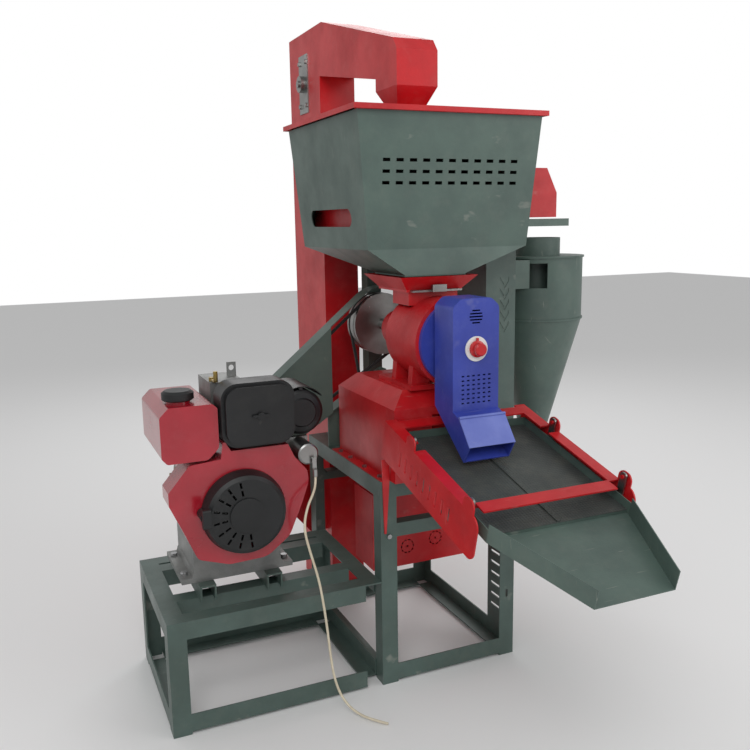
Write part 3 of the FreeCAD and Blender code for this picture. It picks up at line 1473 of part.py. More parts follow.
def cyclone_body():
    """Cyclone: ribbed cylinder, cone, air outlet pipe and bran spigot."""
    x, y, wall = s.cyclone_x, s.cyclone_y, s.sheet
    radius, top, shoulder = s.cyclone_radius, s.cyclone_top, s.cyclone_shoulder
    tip, tip_z, pipe = s.cyclone_tip_radius, s.cyclone_tip_z, s.outlet_pipe_radius
    height = shoulder - tip_z
    steps = [
        (tip_z - 60, tip), (tip_z, tip), (shoulder, radius), (shoulder, radius + 4), (shoulder + 6, radius + 4), (shoulder + 6, radius),
        (top - 6, radius), (top - 6, radius + 5), (top, radius + 5), (top, pipe), (s.outlet_pipe_top, pipe),
        (s.outlet_pipe_top, pipe - wall), (top - 120, pipe - wall), (top - 120, pipe), (top - wall, pipe), (top - wall, radius - wall),
        (shoulder, radius - wall), (tip_z, tip - wall), (tip_z - 60, tip - wall),
    ]
    body = turned("z", x, y, 0, steps)
    window = box(x - radius - 20, y - radius + 10, top - 106, radius, s.riser_depth - 24, 84)
    subpart("cyclone_body", cut(body, window))


def cyclone_duct():
    """Duct from the blower up beside the post and across into the cyclone."""
    left, width, front, depth, wall = s.riser_left, s.riser_width, s.riser_front, s.riser_depth, s.sheet
    blower_right = s.blower_left + s.blower_width
    low, high = s.blower_bottom + 130, s.cyclone_top - 10
    outline = [
        (blower_right, low), (left + width, low + 40), (left + width, high - 96), (s.cyclone_x - 90, high - 96),
        (s.cyclone_x - 90, high), (left, high), (left, low + 110), (blower_right, low + 100),
    ]
    inner = [
        (blower_right - 1, low + wall), (left + width - wall, low + 40 + wall), (left + width - wall, high - 96 + wall),
        (s.cyclone_x - 89, high - 96 + wall), (s.cyclone_x - 89, high - wall), (left + wall, high - wall),
        (left + wall, low + 110 - wall), (blower_right - 1, low + 100 - wall),
    ]
    duct = cut(extrude("y", outline, front, depth), extrude("y", inner, front + wall, depth - 2 * wall))
    drum = rod("z", s.cyclone_x, s.cyclone_y, s.cyclone_shoulder - 10, s.cyclone_radius, s.cyclone_top + 20 - s.cyclone_shoulder)
    band = rod("z", s.cyclone_x, s.cyclone_y, s.cyclone_top - 7, s.cyclone_radius + 5, 20)
    subpart("cyclone_duct", cut(duct, drum, band))


def blower_box():
    """Blower casing with its vent rosettes, inlet duct to the mill base and shaft bearings."""
    left, width, front, depth = s.blower_left, s.blower_width, s.blower_front, s.blower_depth
    low, height, wall = s.blower_bottom, s.blower_height, s.sheet
    outer = box(left, front, low, width, depth, height)
    inner = box(left + wall, front + wall, low + wall, width - 2 * wall, depth - 2 * wall, height - 2 * wall)
    duct_height = s.main_height - low - height
    duct = box(left + 6, front + 4, low + height, 150, 110, duct_height)
    duct_room = box(left + 6 + wall, front + 4 + wall, low + height - wall - 1, 150 - 2 * wall, 110 - 2 * wall, duct_height + wall + 2)
    outlet = box(left + width - wall - 1, s.riser_front + wall, low + 130 + wall, wall + 2, s.riser_depth - 2 * wall, 100 - 2 * wall)
    bore = s.shaft_radius - 7 + s.running_gap
    boss = rod("y", s.blower_x, front + depth, s.blower_z, 30, 8)
    bore_cut = rod("y", s.blower_x, front + depth - wall - 1, s.blower_z, bore, wall + 14)
    slots = []
    for u, v in ((left + 124, low + 64), (left + 228, low + 76)):
        for index in range(SIZES["rosette_slots"]):
            angle = 360 / SIZES["rosette_slots"] * index
            turn = math.radians(angle)
            slot = box(0, 0, 0, 4, wall + 2, 9)
            reach = s.rosette_radius
            place(slot, u + reach * math.cos(turn) - 4.5 * math.sin(turn), front - 1, v + reach * math.sin(turn) + 4.5 * math.cos(turn),
                  FreeCAD.Rotation(Vector(0, 1, 0), 180 - angle))
            slots.append(slot)
        slots.append(rod("y", u, front - 1, v, 3.5, wall + 2))
    subpart("blower_box", cut(fuse(outer, duct, boss), inner, duct_room, outlet, bore_cut, *slots))


def blower_wheel():
    """Paddle wheel of the blower on its shaft, with the driven pulley behind the box."""
    x, z = s.blower_x, s.blower_z
    back = s.blower_front + s.blower_depth
    front = back - 22 - s.blower_wheel_width
    radius = s.shaft_radius - 7
    pulley_front = blower_pulley_front()
    shaft = rod("y", x, front - 12, z, radius, pulley_front + 28 - front + 12)
    hub = rod("y", x, front, z, 30, s.blower_wheel_width)
    disc = rod("y", x, back - 26, z, s.blower_wheel_radius - 10, 4)
    blades = []
    for index in range(SIZES["blade_count"]):
        angle = 360 / SIZES["blade_count"] * index + 15
        turn = math.radians(angle)
        blade = box(0, 0, 0, s.blower_wheel_radius - 24, s.blower_wheel_width, s.blade_thickness)
        place(blade, x + 24 * math.cos(turn), front, z + 24 * math.sin(turn), FreeCAD.Rotation(Vector(0, 1, 0), -angle))
        blades.append(blade)
    pulley = v_pulley(x, pulley_front, z, s.blower_pulley_radius, 24)
    subpart("blower_wheel", fuse(shaft, hub, disc, *blades, pulley))


def blower_pulley_front():
    """Front of the blower's pulley, whose groove lines up with the mill pulley's rear groove."""
    return belt_line(0.75) - 12


def dust_hood():
    """Hood behind the hopper that draws dust off the paddy screen."""
    left, front, depth, wall = s.hood_left, s.hood_front, s.hood_depth, s.sheet
    low, high = s.hood_bottom, s.hood_bottom + s.hood_height
    right = s.hood_right
    outline = [(left, low), (right, low), (right, high - s.hood_chamfer), (right - s.hood_chamfer / 2, high), (left, high)]
    inner = [(left + wall, low - 1), (right - wall, low - 1), (right - wall, high - s.hood_chamfer - 1),
             (right - s.hood_chamfer / 2 - 1, high - wall), (left + wall, high - wall)]
    shell = cut(extrude("y", outline, front, depth), extrude("y", inner, front + wall, depth - 2 * wall))
    top, bottom = hopper_rectangles()
    back = top[1] + top[3]
    neck = box(left, back, low + 20, 110, front - back, s.hood_height - 60)
    subpart("dust_hood", shell, neck)


# ---------------------------------------------------------------- belt drive

def belt_loop(first, second, front, width):
    """V-belt round two pulleys, each given as (x, z, radius of the belt's inner face)."""
    x1, z1, r1 = first
    x2, z2, r2 = second
    angle = math.atan2((z2 - z1).number, (x2 - x1).number)
    distance = math.hypot((z2 - z1).number, (x2 - x1).number)
    lean = math.asin((r2 - r1).number / distance)
    thick = s.belt_height

    def hull(extra, start, length):
        wheel_1 = rod("y", x1, start, z1, r1 + extra, length)
        wheel_2 = rod("y", x2, start, z2, r2 + extra, length)
        corners = []
        for (x, z, r), side in ((first, 1), (second, 1), (second, -1), (first, -1)):
            turn = angle + side * (math.pi / 2 + lean)
            corners.append((x + (r + extra) * math.cos(turn), z + (r + extra) * math.sin(turn)))
        return fuse(wheel_1, wheel_2, extrude("y", corners, start, length))

    return cut(hull(thick, front, width), hull(as_size(0), front - 1, width + 2))


def belts():
    """Main belt from engine to mill, and the blower's belt."""
    width = s.belt_width - 4
    depth = s.belt_height - 1
    for label, grooves_at, x, z, radius in (
        ("main_belt", 0.25, s.crank_x, s.crank_z, s.engine_pulley_radius),
        ("blower_belt", 0.75, s.blower_x, s.blower_z, s.blower_pulley_radius),
    ):
        middle = belt_line(grooves_at)
        mill = (s.mill_x, s.mill_z, s.mill_pulley_radius - depth)
        subpart(label, belt_loop(mill, (x, z, radius - depth), middle - width / 2, width))


def belt_cover():
    """Belt guard: front plate over the lower run and a band round the top of the belt."""
    wall = s.sheet
    front = s.mill_pulley_front - s.cover_lead
    depth = s.cover_depth
    low = (s.crank_x, s.crank_z, s.engine_pulley_radius + s.cover_gap)
    high = (s.mill_x, s.mill_z, s.mill_pulley_radius + s.cover_gap)
    angle = math.atan2((high[1] - low[1]).number, (high[0] - low[0]).number)
    distance = math.hypot((high[1] - low[1]).number, (high[0] - low[0]).number)
    lean = math.asin((high[2] - low[2]).number / distance)

    def hull(shrink, start, length):
        corners = []
        for (x, z, r), side in ((low, 1), (high, 1), (high, -1), (low, -1)):
            turn = angle + side * (math.pi / 2 + lean)
            corners.append((x + (r - shrink) * math.cos(turn), z + (r - shrink) * math.sin(turn)))
        wheels = [rod("y", x, start, z, r - shrink, length) for x, z, r in (low, high)]
        return fuse(*wheels, extrude("y", corners, start, length))

    shell = hull(0, front, depth)
    room = hull(wall, front + wall, depth)
    open_front = box(s.base_left - 20, front - 1, s.main_height - 40, 400, 10, 700)
    crank_hole = rod("y", s.crank_x, front - 1, s.crank_z, 56, 8)
    under = box(low[0], front - 1, low[1] - 220, 1000, depth + 10, 215)
    right = box(s.mill_x, front - 1, s.mill_z - 200, 200, depth + 10, 200)
    post = box(s.angle_wall, front + depth / 2, s.main_height, s.angle_leg - 10, s.heavy_sheet, (low[1] + high[1]) / 2 - s.main_height)
    post = cut(post, hull(0, front - 1, depth + 2))
    subpart("belt_cover", cut(shell, room, open_front, crank_hole, under, right), post)


# ---------------------------------------------------------------- vibratory screen

def lean(*pieces):
    """Tip pieces drawn in the screen's own frame to the screen's slope and seat them at its rear."""
    item = doc.addObject("Part::Compound", "leaning")
    item.Links = list(pieces)
    place(item, 0, s.screen_rear_y, s.screen_rear_z, FreeCAD.Rotation(Vector(1, 0, 0), s.screen_slope.number))
    item.setExpression("Placement.Rotation.Angle", s.screen_slope.text)
    return item


def hanger_faces():
    """Inner faces of the screen's side plates, where the hangers' pins stand."""
    return s.screen_left + s.heavy_sheet, s.screen_left + s.screen_width - s.heavy_sheet


def screen_frame():
    """Two sloping side plates with folded lips, cross bars, hanger pins and tabs to the main frame."""
    wall, height, flange = s.heavy_sheet, s.screen_side_height, s.screen_top_flange
    length, left, width, lift = s.screen_length, s.screen_left, s.screen_width, s.hanger_lift
    near, far = hanger_faces()
    sides = []
    for x, inward in ((left, 1), (far, -1)):
        plate = extrude("x", [(0, 0), (0, -height), (-length, -height), (-length, 0)], x, wall, {2: 26, 3: 30})
        slots = []
        for step in range(9):
            slots.append(oblong("x", -110 - step * 34, -height / 2 - 6, x - 1, 44, 10, wall + 2, upright=True))
        lip_x = x if inward > 0 else x - flange + wall
        lip = box(lip_x, -length + 32, -wall, flange, length - 32, wall)
        lugs, notches = [], []
        for step in (s.hanger_rear, s.hanger_front):
            lugs.append(extrude("x", [(-step + 24, -1), (-step - 24, -1), (-step - 24, lift + 12), (-step + 24, lift + 12)],
                                x, wall, {2: 20, 3: 20}))
            notches.append(box(lip_x - 1 if inward < 0 else x + wall, -step - 20, -wall - 1, flange - wall + 1, 40, wall + 2))
        sides.append(fuse(cut(plate, *slots), cut(lip, *notches), *lugs))
    strips = []
    for y in (-52, -length + 34):
        strips.append(fuse(
            box(left + flange, y, -wall, width - 2 * flange, 40, wall),
            box(left + flange, y + 36, -wall - 9, width - 2 * flange, 4, 10),
        ))
    seat = box(near + 40, s.base_front - 20, s.screen_rear_z - 26, far - near - 110, 20, 20)
    strips = fuse(lean(*strips), seat)
    pins = []
    for step in (s.hanger_rear, s.hanger_front):
        pins.append(rod("x", near, -step, lift, s.pin_radius, s.hanger_thickness + 6))
        pins.append(rod("x", far - s.hanger_thickness - 6, -step, lift, s.pin_radius, s.hanger_thickness + 6))
    tabs = []
    for inner, outer in ((left + wall, left + 28), (far, left + width - 28)):
        middle = (inner + outer) / 2
        edge = inner + (middle - inner) / 2
        outline = [(inner, 690), (edge, 470), (middle, 470), (outer, 640), (outer, 690)]
        if inner.number > outer.number:
            outline.reverse()
        tabs.append(extrude("y", outline, -wall, wall))
    subpart("screen_frame", lean(*sides, *pins), strips, *tabs)


def hangers():
    """Two pairs of links that hang the tray from the side plates."""
    near, far = hanger_faces()
    half = s.hanger_width / 2
    top, low = s.hanger_lift, s.hanger_lift - s.hanger_length
    for label, step in (("rear_hangers", s.hanger_rear), ("front_hangers", s.hanger_front)):
        links = []
        outline = [(-step - half, low - half), (-step + half, low - half), (-step + half, top + half), (-step - half, top + half)]
        holes = [(-step, top, s.pin_radius + s.running_gap), (-step, low, s.pin_radius + s.pin_gap)]
        for x in (near + 2, far - 2 - s.hanger_thickness):
            links.append(extrude("x", outline, x, s.hanger_thickness, {0: 8, 1: 8, 2: 8, 3: 8}, holes))
        subpart(label, lean(*links))


def screen_tray():
    """Vibrating tray: side walls, support ribs, hanger pins and the tapered chute."""
    near, far = hanger_faces()
    left, width = near + s.tray_gap, far - near - 2 * s.tray_gap
    low, tall, thin = screen_tray_low(), s.tray_wall_height, s.sheet
    length, rear = screen_tray_length(), s.tray_rear
    trough = cut(
        box(left, -length, low, width, length - rear, tall),
        box(left + thin, -length - 1, low + thin, width - 2 * thin, length - rear + 1 - thin, tall),
    )
    pins = []
    for step in (s.hanger_rear, s.hanger_front):
        pins.append(rod("x", near + 2, -step, low + 20, s.pin_radius, s.tray_gap - 2))
        pins.append(rod("x", far - s.tray_gap, -step, low + 20, s.pin_radius, s.tray_gap - 2))
    ribs = [box(left + thin, -length + step, low + thin, width - 2 * thin, 14, 8) for step in (8, 150, 300, 450)]
    chute = tray_chute(left, width, low, length)
    subpart("screen_tray", lean(fuse(trough, chute, *pins, *ribs)))

    mesh_z = low + thin + 8
    mesh = box(left + thin, -length + 8, mesh_z, width - 2 * thin, length - rear - 12, 1.5)
    stiffener = box(left + width / 2 - 5, -length + 10, mesh_z + 1.5, 10, length - rear - 16, 3)
    subpart("screen_mesh", lean(mesh, stiffener))


def tray_chute(left, width, low, length):
    """Tapered chute at the tray's lower end."""
    thin, tip, taper = s.sheet, s.tray_tip, s.tray_taper
    right = left + width
    end = -length - tip
    floor = extrude("z", [(left, -length), (left + taper, end), (right - taper, end), (right, -length)], low, thin)
    height = s.tray_chute_height - thin
    left_wall = extrude("z", [(left, -length), (left + taper, end), (left + taper + thin, end), (left + thin, -length)], low + thin, height)
    right_wall = extrude("z", [(right - thin, -length), (right - taper - thin, end), (right - taper, end), (right, -length)], low + thin, height)
    return fuse(floor, left_wall, right_wall)


# ---------------------------------------------------------------- fasteners and leads

def fasteners():
    """Bolts that hold the frames, rails, base and covers."""
    top = s.main_height + s.sheet
    heads = []
    for y in (40, 150, 260, 340):
        for x in (s.base_left - s.base_flange / 2, s.base_left + s.base_width + s.base_flange / 2):
            heads.append(hexagon("z", x, y, top, s.bolt_across, s.bolt_head))
    rail_top = s.engine_frame_height + s.channel_height
    for side in (-1, 1):
        x = s.crank_x + side * (s.crankcase_base_width / 2 - 14)
        for y in (s.crankcase_front + 40, s.crankcase_front + s.crankcase_length - 40):
            heads.append(hexagon("z", x, y, rail_top + s.foot_thickness, 17, 8))
    heads.append(hexagon("-y", 25, 0, 460, s.bolt_across, s.bolt_head))
    subpart("fasteners", *heads)


def lead(label, radius, route):
    """Battery lead: straight runs joined by tangent arcs along a route chosen by hand."""
    points = [Vector(*point) for point in route]
    runs = [(points[i + 1] - points[i]).Length for i in range(len(points) - 1)]
    edges = []
    cursor = points[0]
    for index in range(1, len(points) - 1):
        back = (points[index - 1] - points[index]).normalize()
        ahead = (points[index + 1] - points[index]).normalize()
        turn = math.pi - back.getAngle(ahead)
        trim = 0.45 * min(runs[index - 1], runs[index])
        bend = trim / math.tan(turn / 2)
        print(label, "bend radius", round(bend, 1))
        start, end = points[index] + back * trim, points[index] + ahead * trim
        inward = (back + ahead).normalize()
        middle = points[index] + inward * (bend / math.cos(turn / 2) - bend)
        edges.append(Part.LineSegment(cursor, start).toShape())
        edges.append(Part.Arc(start, middle, end).toShape())
        cursor = end
    edges.append(Part.LineSegment(cursor, points[-1]).toShape())
    path = Part.Wire(edges)
    first = (points[1] - points[0]).normalize()
    ring = Part.Wire([Part.Circle(points[0], first, radius).toShape()])
    solid = path.makePipeShell([ring], True, True)
    length = sum(edge.Length for edge in edges)
    print(label, "length", round(length), "volume share", round(solid.Volume / (math.pi * radius ** 2 * length), 4))
    item = doc.addObject("Part::Feature", label)
    item.Shape = solid
    places[item.Name] = [as_size(0)] * 3
    subpart(label, item)


CREAM_ROUTE = [
    (-184, 24, 662), (-184, 24, 645), (-196, 4, 626), (-226, -18, 590), (-240, -28, 538), (-226, -34, 470),
    (-205, -37, 392), (-193, -38, 314), (-184, -38, 236), (-178, -40, 160), (-172, -48, 94), (-160, -70, 44),
    (-140, -104, 16), (-112, -148, 8), (-72, -190, 7),
]


def sub_parts():
    """Every sub-part of the machine."""
    main_frame()
    engine_frame()
    engine_rails()
    crankcase()
    crankshaft()
    cylinder_head()
    fan_cowl()
    recoil_starter()
    starter_handle()
    fuel_tank()
    fuel_cap()
    air_cleaner()
    muffler()
    muffler_guard()
    starter_motor()
    speed_lever()
    subpart("injection_pump", *injection_pump())
    decompression_lever()
    mill_base()
    mill_stand()
    milling_cylinder()
    mill_sieve()
    mill_bearings()
    mill_rotor()
    outlet_flange()
    outlet_head()
    dial_plate()
    pressure_knob()
    outlet_flap()
    inlet_funnel()
    feed_gate()
    hopper_body()
    hopper_lid()
    hopper_funnel()
    paddy_screen()
    impurity_chute()
    hopper_posts()
    elevator_casing()
    elevator_arm()
    elevator_spout()
    takeup_bearings()
    elevator_drums()
    bucket_belt()
    feed_boot()
    cyclone_body()
    cyclone_duct()
    blower_box()
    blower_wheel()
    dust_hood()
    belts()
    belt_cover()
    screen_frame()
    hangers()
    screen_tray()
    fasteners()
    lead("battery_lead", SIZES["lead_radius"], CREAM_ROUTE)


sub_parts()
doc.recompute()

for item in doc.Objects:
    if "Invalid" in item.State or "Error" in item.State:
        raise RuntimeError(f"{item.Label} ({item.Name}) did not build: {item.State}")
for item in subparts:
    if item.Shape.isNull() or not item.Shape.isValid():
        raise RuntimeError(f"{item.Label} has no valid shape")
for item in subparts:
    item.Shape.exportStep(f"parts/{item.Label}.step")
print(len(subparts), "sub-parts")
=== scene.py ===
"""Looks of the rice huller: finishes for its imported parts, its starter lead and the studio.

Places are given in millimetres from the main frame's near left foot and are
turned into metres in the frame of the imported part.
"""

import json
import logging
import math
from dataclasses import dataclass
from enum import Enum

import bpy
import numpy as np
from mathutils import Matrix, Vector

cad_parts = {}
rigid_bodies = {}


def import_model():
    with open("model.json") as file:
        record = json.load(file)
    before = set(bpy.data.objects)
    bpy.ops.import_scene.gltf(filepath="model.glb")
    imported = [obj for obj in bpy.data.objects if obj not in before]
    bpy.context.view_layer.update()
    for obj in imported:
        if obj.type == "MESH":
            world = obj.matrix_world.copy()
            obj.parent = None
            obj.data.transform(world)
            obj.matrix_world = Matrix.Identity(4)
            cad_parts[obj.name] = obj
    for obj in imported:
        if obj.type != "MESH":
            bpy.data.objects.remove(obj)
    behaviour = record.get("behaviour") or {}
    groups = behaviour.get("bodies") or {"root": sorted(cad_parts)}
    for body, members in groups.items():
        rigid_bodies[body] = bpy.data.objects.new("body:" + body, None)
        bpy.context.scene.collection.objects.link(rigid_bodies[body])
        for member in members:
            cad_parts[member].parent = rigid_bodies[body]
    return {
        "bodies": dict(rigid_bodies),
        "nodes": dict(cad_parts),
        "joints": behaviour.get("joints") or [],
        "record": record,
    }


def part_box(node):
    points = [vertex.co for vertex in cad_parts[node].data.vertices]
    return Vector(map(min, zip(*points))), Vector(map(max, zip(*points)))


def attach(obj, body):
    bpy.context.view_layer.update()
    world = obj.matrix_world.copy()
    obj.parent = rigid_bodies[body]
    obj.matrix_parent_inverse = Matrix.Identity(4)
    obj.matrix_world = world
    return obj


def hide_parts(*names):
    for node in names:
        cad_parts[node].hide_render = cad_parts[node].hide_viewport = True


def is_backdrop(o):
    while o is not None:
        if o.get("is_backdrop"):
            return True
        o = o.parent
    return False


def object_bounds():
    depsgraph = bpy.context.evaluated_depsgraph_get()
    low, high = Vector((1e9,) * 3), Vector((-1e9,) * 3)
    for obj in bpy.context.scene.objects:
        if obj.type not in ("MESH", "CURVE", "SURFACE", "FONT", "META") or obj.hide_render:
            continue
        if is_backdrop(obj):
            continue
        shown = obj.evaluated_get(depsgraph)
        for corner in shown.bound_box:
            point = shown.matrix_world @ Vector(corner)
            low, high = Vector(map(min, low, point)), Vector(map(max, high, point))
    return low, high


LOG = logging.getLogger("rice_huller")
MM = 0.001

# Sockets of a colour mix node: the two colours that go in and the one that comes out
MIX_A, MIX_B, MIX_OUT = 6, 7, 2
# Noise values between which one shade turns into the other, and the sheen with it
PATCH_EDGES = (0.34, 0.66)
SHEEN_EDGES = (0.3, 0.7)
COAT_ROUGHNESS = 0.12
RELIEF_DEPTH = 0.0008
# Clouds of husk dust, and the noise values between which they thicken
DUST_CLOUDS = {"Scale": 17.0, "Detail": 8.0, "Roughness": 0.72}
DUST_EDGES = (0.5, 0.78)
# Noise squeezed across the stroke makes the scratches, and only its peaks show
SCRATCH_STROKES = {"Rotation": (0.4, 0.7, 0.3), "Scale": (12.0, 160.0, 14.0)}
SCRATCH_EDGES = (0.68, 0.74)
SCRATCH_COLOUR = "b9b6ac"
# Drawn metal keeps one sixteenth of its grain along the draw
DRAW_STRETCH = (1.0, 0.06, 1.0)
# A wave texture repeats this many times slower than a noise of the same scale
WAVE_RATE = 6.5


# ------------------------------------------------------------------ finishes


def linear(code: str) -> tuple[float, float, float, float]:
    """Turn an sRGB hex code into a linear colour.

    Args:
        code: Six hex digits, red, green and blue.

    Returns:
        Linear red, green and blue, with an alpha of one.
    """
    values = np.array([int(code[i : i + 2], 16) for i in (0, 2, 4)]) / 255
    curve = np.where(values <= 0.04045, values / 12.92, ((values + 0.055) / 1.055) ** 2.4)
    return (*curve.tolist(), 1.0)


def add_node(
    tree: bpy.types.NodeTree, kind: str, links: dict | None = None, inputs: dict | None = None, **settings
) -> bpy.types.Node:
    """Add a shader node with its settings, socket values and incoming links.

    Args:
        tree: Node tree of the material.
        kind: Blender's name for the node type.
        links: Input socket name or number to the output socket that feeds it.
        inputs: Input socket name or number to its plain value.
        **settings: Properties of the node itself.

    Returns:
        The new node.
    """
    node = tree.nodes.new(kind)
    for key, value in settings.items():
        setattr(node, key, value)
    for key, value in (inputs or {}).items():
        node.inputs[key].default_value = value
    for key, socket in (links or {}).items():
        tree.links.new(socket, node.inputs[key])
    return node


class Grain(Enum):
    """How a surface was made, which sets the shape of its relief."""

    SPRAYED = "sprayed"
    CAST = "cast"
    MOULDED = "moulded"
    DRAWN = "drawn"
    WOVEN = "woven"


@dataclass(frozen=True)
class Finish:
    """A material of one of the machine's surfaces."""

    name: str
    slot: str
    colour: str
    shade: str
    grain: Grain
    grain_mm: float
    relief: float
    rough: tuple[float, float]
    metallic: float = 0.0
    coat: float = 0.0
    patch_mm: float = 140.0
    dust: str = "8d8a80"
    dust_share: float = 0.12
    scratch: float = 0.0
    specular: float = 0.5

    def material(self) -> bpy.types.Material:
        """Build the node material, once, and hand it back after that.

        Returns:
            The material with patches of shade, dust, scratches and relief.
        """
        known = bpy.data.materials.get(self.name)
        if known is not None:
            return known
        made = bpy.data.materials.new(self.name)
        made.use_nodes = True
        tree = made.node_tree
        shader = tree.nodes["Principled BSDF"]
        place = add_node(tree, "ShaderNodeTexCoord").outputs["Object"]
        patches = add_node(
            tree, "ShaderNodeTexNoise", {"Vector": place},
            {"Scale": 1000 / self.patch_mm, "Detail": 5.0, "Roughness": 0.6},
        ).outputs["Fac"]
        spread = add_node(
            tree, "ShaderNodeMapRange", {"Value": patches},
            {"From Min": PATCH_EDGES[0], "From Max": PATCH_EDGES[1]},
        ).outputs["Result"]
        tint = add_node(
            tree, "ShaderNodeMix", {"Factor": spread},
            {MIX_A: linear(self.colour), MIX_B: linear(self.shade)}, data_type="RGBA",
        )
        colour = self.with_dust(tree, place, tint.outputs[MIX_OUT])
        if self.scratch > 0:
            colour = self.with_scratches(tree, place, colour)
        tree.links.new(colour, shader.inputs["Base Color"])
        roughness = add_node(
            tree, "ShaderNodeMapRange", {"Value": patches},
            {
                "From Min": SHEEN_EDGES[0], "From Max": SHEEN_EDGES[1],
                "To Min": self.rough[0], "To Max": self.rough[1],
            },
        )
        tree.links.new(roughness.outputs["Result"], shader.inputs["Roughness"])
        shader.inputs["Metallic"].default_value = self.metallic
        shader.inputs["Coat Weight"].default_value = self.coat
        shader.inputs["Coat Roughness"].default_value = COAT_ROUGHNESS
        shader.inputs["Specular IOR Level"].default_value = self.specular
        bump = add_node(
            tree, "ShaderNodeBump", {"Height": self.height(tree, place)},
            {"Strength": self.relief, "Distance": RELIEF_DEPTH},
        )
        tree.links.new(bump.outputs["Normal"], shader.inputs["Normal"])
        return made

    def with_dust(
        self, tree: bpy.types.NodeTree, place: bpy.types.NodeSocket, colour: bpy.types.NodeSocket
    ) -> bpy.types.NodeSocket:
        """Lay thin husk dust over the colour in soft clouds.

        Args:
            tree: Node tree of the material.
            place: Object coordinates.
            colour: Colour under the dust.

        Returns:
            Colour with the dust on it.
        """
        clouds = add_node(tree, "ShaderNodeTexNoise", {"Vector": place}, DUST_CLOUDS).outputs["Fac"]
        share = add_node(
            tree, "ShaderNodeMapRange", {"Value": clouds},
            {"From Min": DUST_EDGES[0], "From Max": DUST_EDGES[1], "To Max": self.dust_share},
        ).outputs["Result"]
        mix = add_node(
            tree, "ShaderNodeMix", {"Factor": share, MIX_A: colour}, {MIX_B: linear(self.dust)},
            data_type="RGBA",
        )
        return mix.outputs[MIX_OUT]

    def with_scratches(
        self, tree: bpy.types.NodeTree, place: bpy.types.NodeSocket, colour: bpy.types.NodeSocket
    ) -> bpy.types.NodeSocket:
        """Draw fine handling scratches that show a paler colour.

        Args:
            tree: Node tree of the material.
            place: Object coordinates.
            colour: Colour under the scratches.

        Returns:
            Colour with the scratches on it.
        """
        turned = add_node(tree, "ShaderNodeMapping", {"Vector": place}, SCRATCH_STROKES).outputs["Vector"]
        streaks = add_node(
            tree, "ShaderNodeTexNoise", {"Vector": turned}, {"Scale": 1.0, "Detail": 3.0, "Roughness": 0.5},
        ).outputs["Fac"]
        share = add_node(
            tree, "ShaderNodeMapRange", {"Value": streaks},
            {"From Min": SCRATCH_EDGES[0], "From Max": SCRATCH_EDGES[1], "To Max": self.scratch},
        ).outputs["Result"]
        mix = add_node(
            tree, "ShaderNodeMix", {"Factor": share, MIX_A: colour}, {MIX_B: linear(SCRATCH_COLOUR)},
            data_type="RGBA",
        )
        return mix.outputs[MIX_OUT]

    def height(self, tree: bpy.types.NodeTree, place: bpy.types.NodeSocket) -> bpy.types.NodeSocket:
        """Relief of the surface by the way it was made.

        Args:
            tree: Node tree of the material.
            place: Object coordinates.

        Returns:
            Socket with the height.
        """
        scale = 1000 / self.grain_mm
        if self.grain is Grain.DRAWN:
            place = add_node(
                tree, "ShaderNodeMapping", {"Vector": place}, {"Scale": DRAW_STRETCH},
            ).outputs["Vector"]
        if self.grain is Grain.WOVEN:
            waves = [
                add_node(
                    tree, "ShaderNodeTexWave", {"Vector": place}, {"Scale": scale / WAVE_RATE},
                    bands_direction=axis,
                ).outputs["Fac"]
                for axis in ("X", "Y")
            ]
            return add_node(tree, "ShaderNodeMath", {0: waves[0], 1: waves[1]},
            operation="MAXIMUM").outputs[0]
        if self.grain is Grain.CAST:
            return add_node(
                tree, "ShaderNodeTexVoronoi", {"Vector": place}, {"Scale": scale},
            ).outputs["Distance"]
        detail = 2.0 if self.grain is Grain.SPRAYED else 4.0
        return add_node(
            tree, "ShaderNodeTexNoise", {"Vector": place}, {"Scale": scale, "Detail": detail},
        ).outputs["Fac"]


# Powder-coated sheet steel: satin, with a fine orange peel drawn at 4 mm so that it shows
GREY_GREEN = Finish(
    "powder_coat_grey_green", "frame_paint", "4f625c", "465650", Grain.SPRAYED, 4, 0.25, (0.34, 0.5),
    scratch=0.25,
)
HOPPER_GREEN = Finish(
    "powder_coat_hopper_green", "hopper_paint", "54675f", "4a5b55", Grain.SPRAYED, 4, 0.25,
    (0.36, 0.52), scratch=0.18,
)
SIGNAL_RED = Finish(
    "powder_coat_red", "red_paint", "c9151d", "b01018", Grain.SPRAYED, 4, 0.25, (0.3, 0.46),
    scratch=0.12, dust="c98f88",
)
# Stoved gloss enamel on pressed sheet: clear, wet highlights
CRIMSON = Finish(
    "stoved_enamel_crimson", "engine_red", "a81026", "96081d", Grain.SPRAYED, 9, 0.12, (0.2, 0.3),
    coat=0.6, dust="b98a8a", dust_share=0.06,
)
# Sprayed blue on sheet and cast iron
BLUE = Finish(
    "sprayed_blue", "blue_paint", "3545a6", "2c3a94", Grain.SPRAYED, 4, 0.25, (0.34, 0.48), scratch=0.1,
    dust="8f97c8",
)
# Painted highlight: the same sprayed blue as the outlet head, paled where overhead light falls on the flap's
# upward facet
FLAP_BLUE_PAINTED_HIGHLIGHT = Finish(
    "sprayed_blue_painted_highlight", "flap_blue", "6f7cc4", "5d6ab6", Grain.SPRAYED, 4, 0.25, (0.36, 0.5),
    scratch=0.16, dust="b5bbe0",
)
# Heat-proof black paint: soft sheen over pressed steel
BLACK_PAINT = Finish(
    "heatproof_black_paint", "black_paint", "17181a", "0f1011", Grain.SPRAYED, 3, 0.3, (0.34, 0.5),
    dust="4c4a46", scratch=0.08,
)
# Moulded nylon: dull, with a faint spark-eroded texture
BLACK_PLASTIC = Finish(
    "moulded_black_nylon", "black_plastic", "16181a", "101213", Grain.MOULDED, 2.5, 0.3, (0.42, 0.56),
    dust="4e4c48",
)
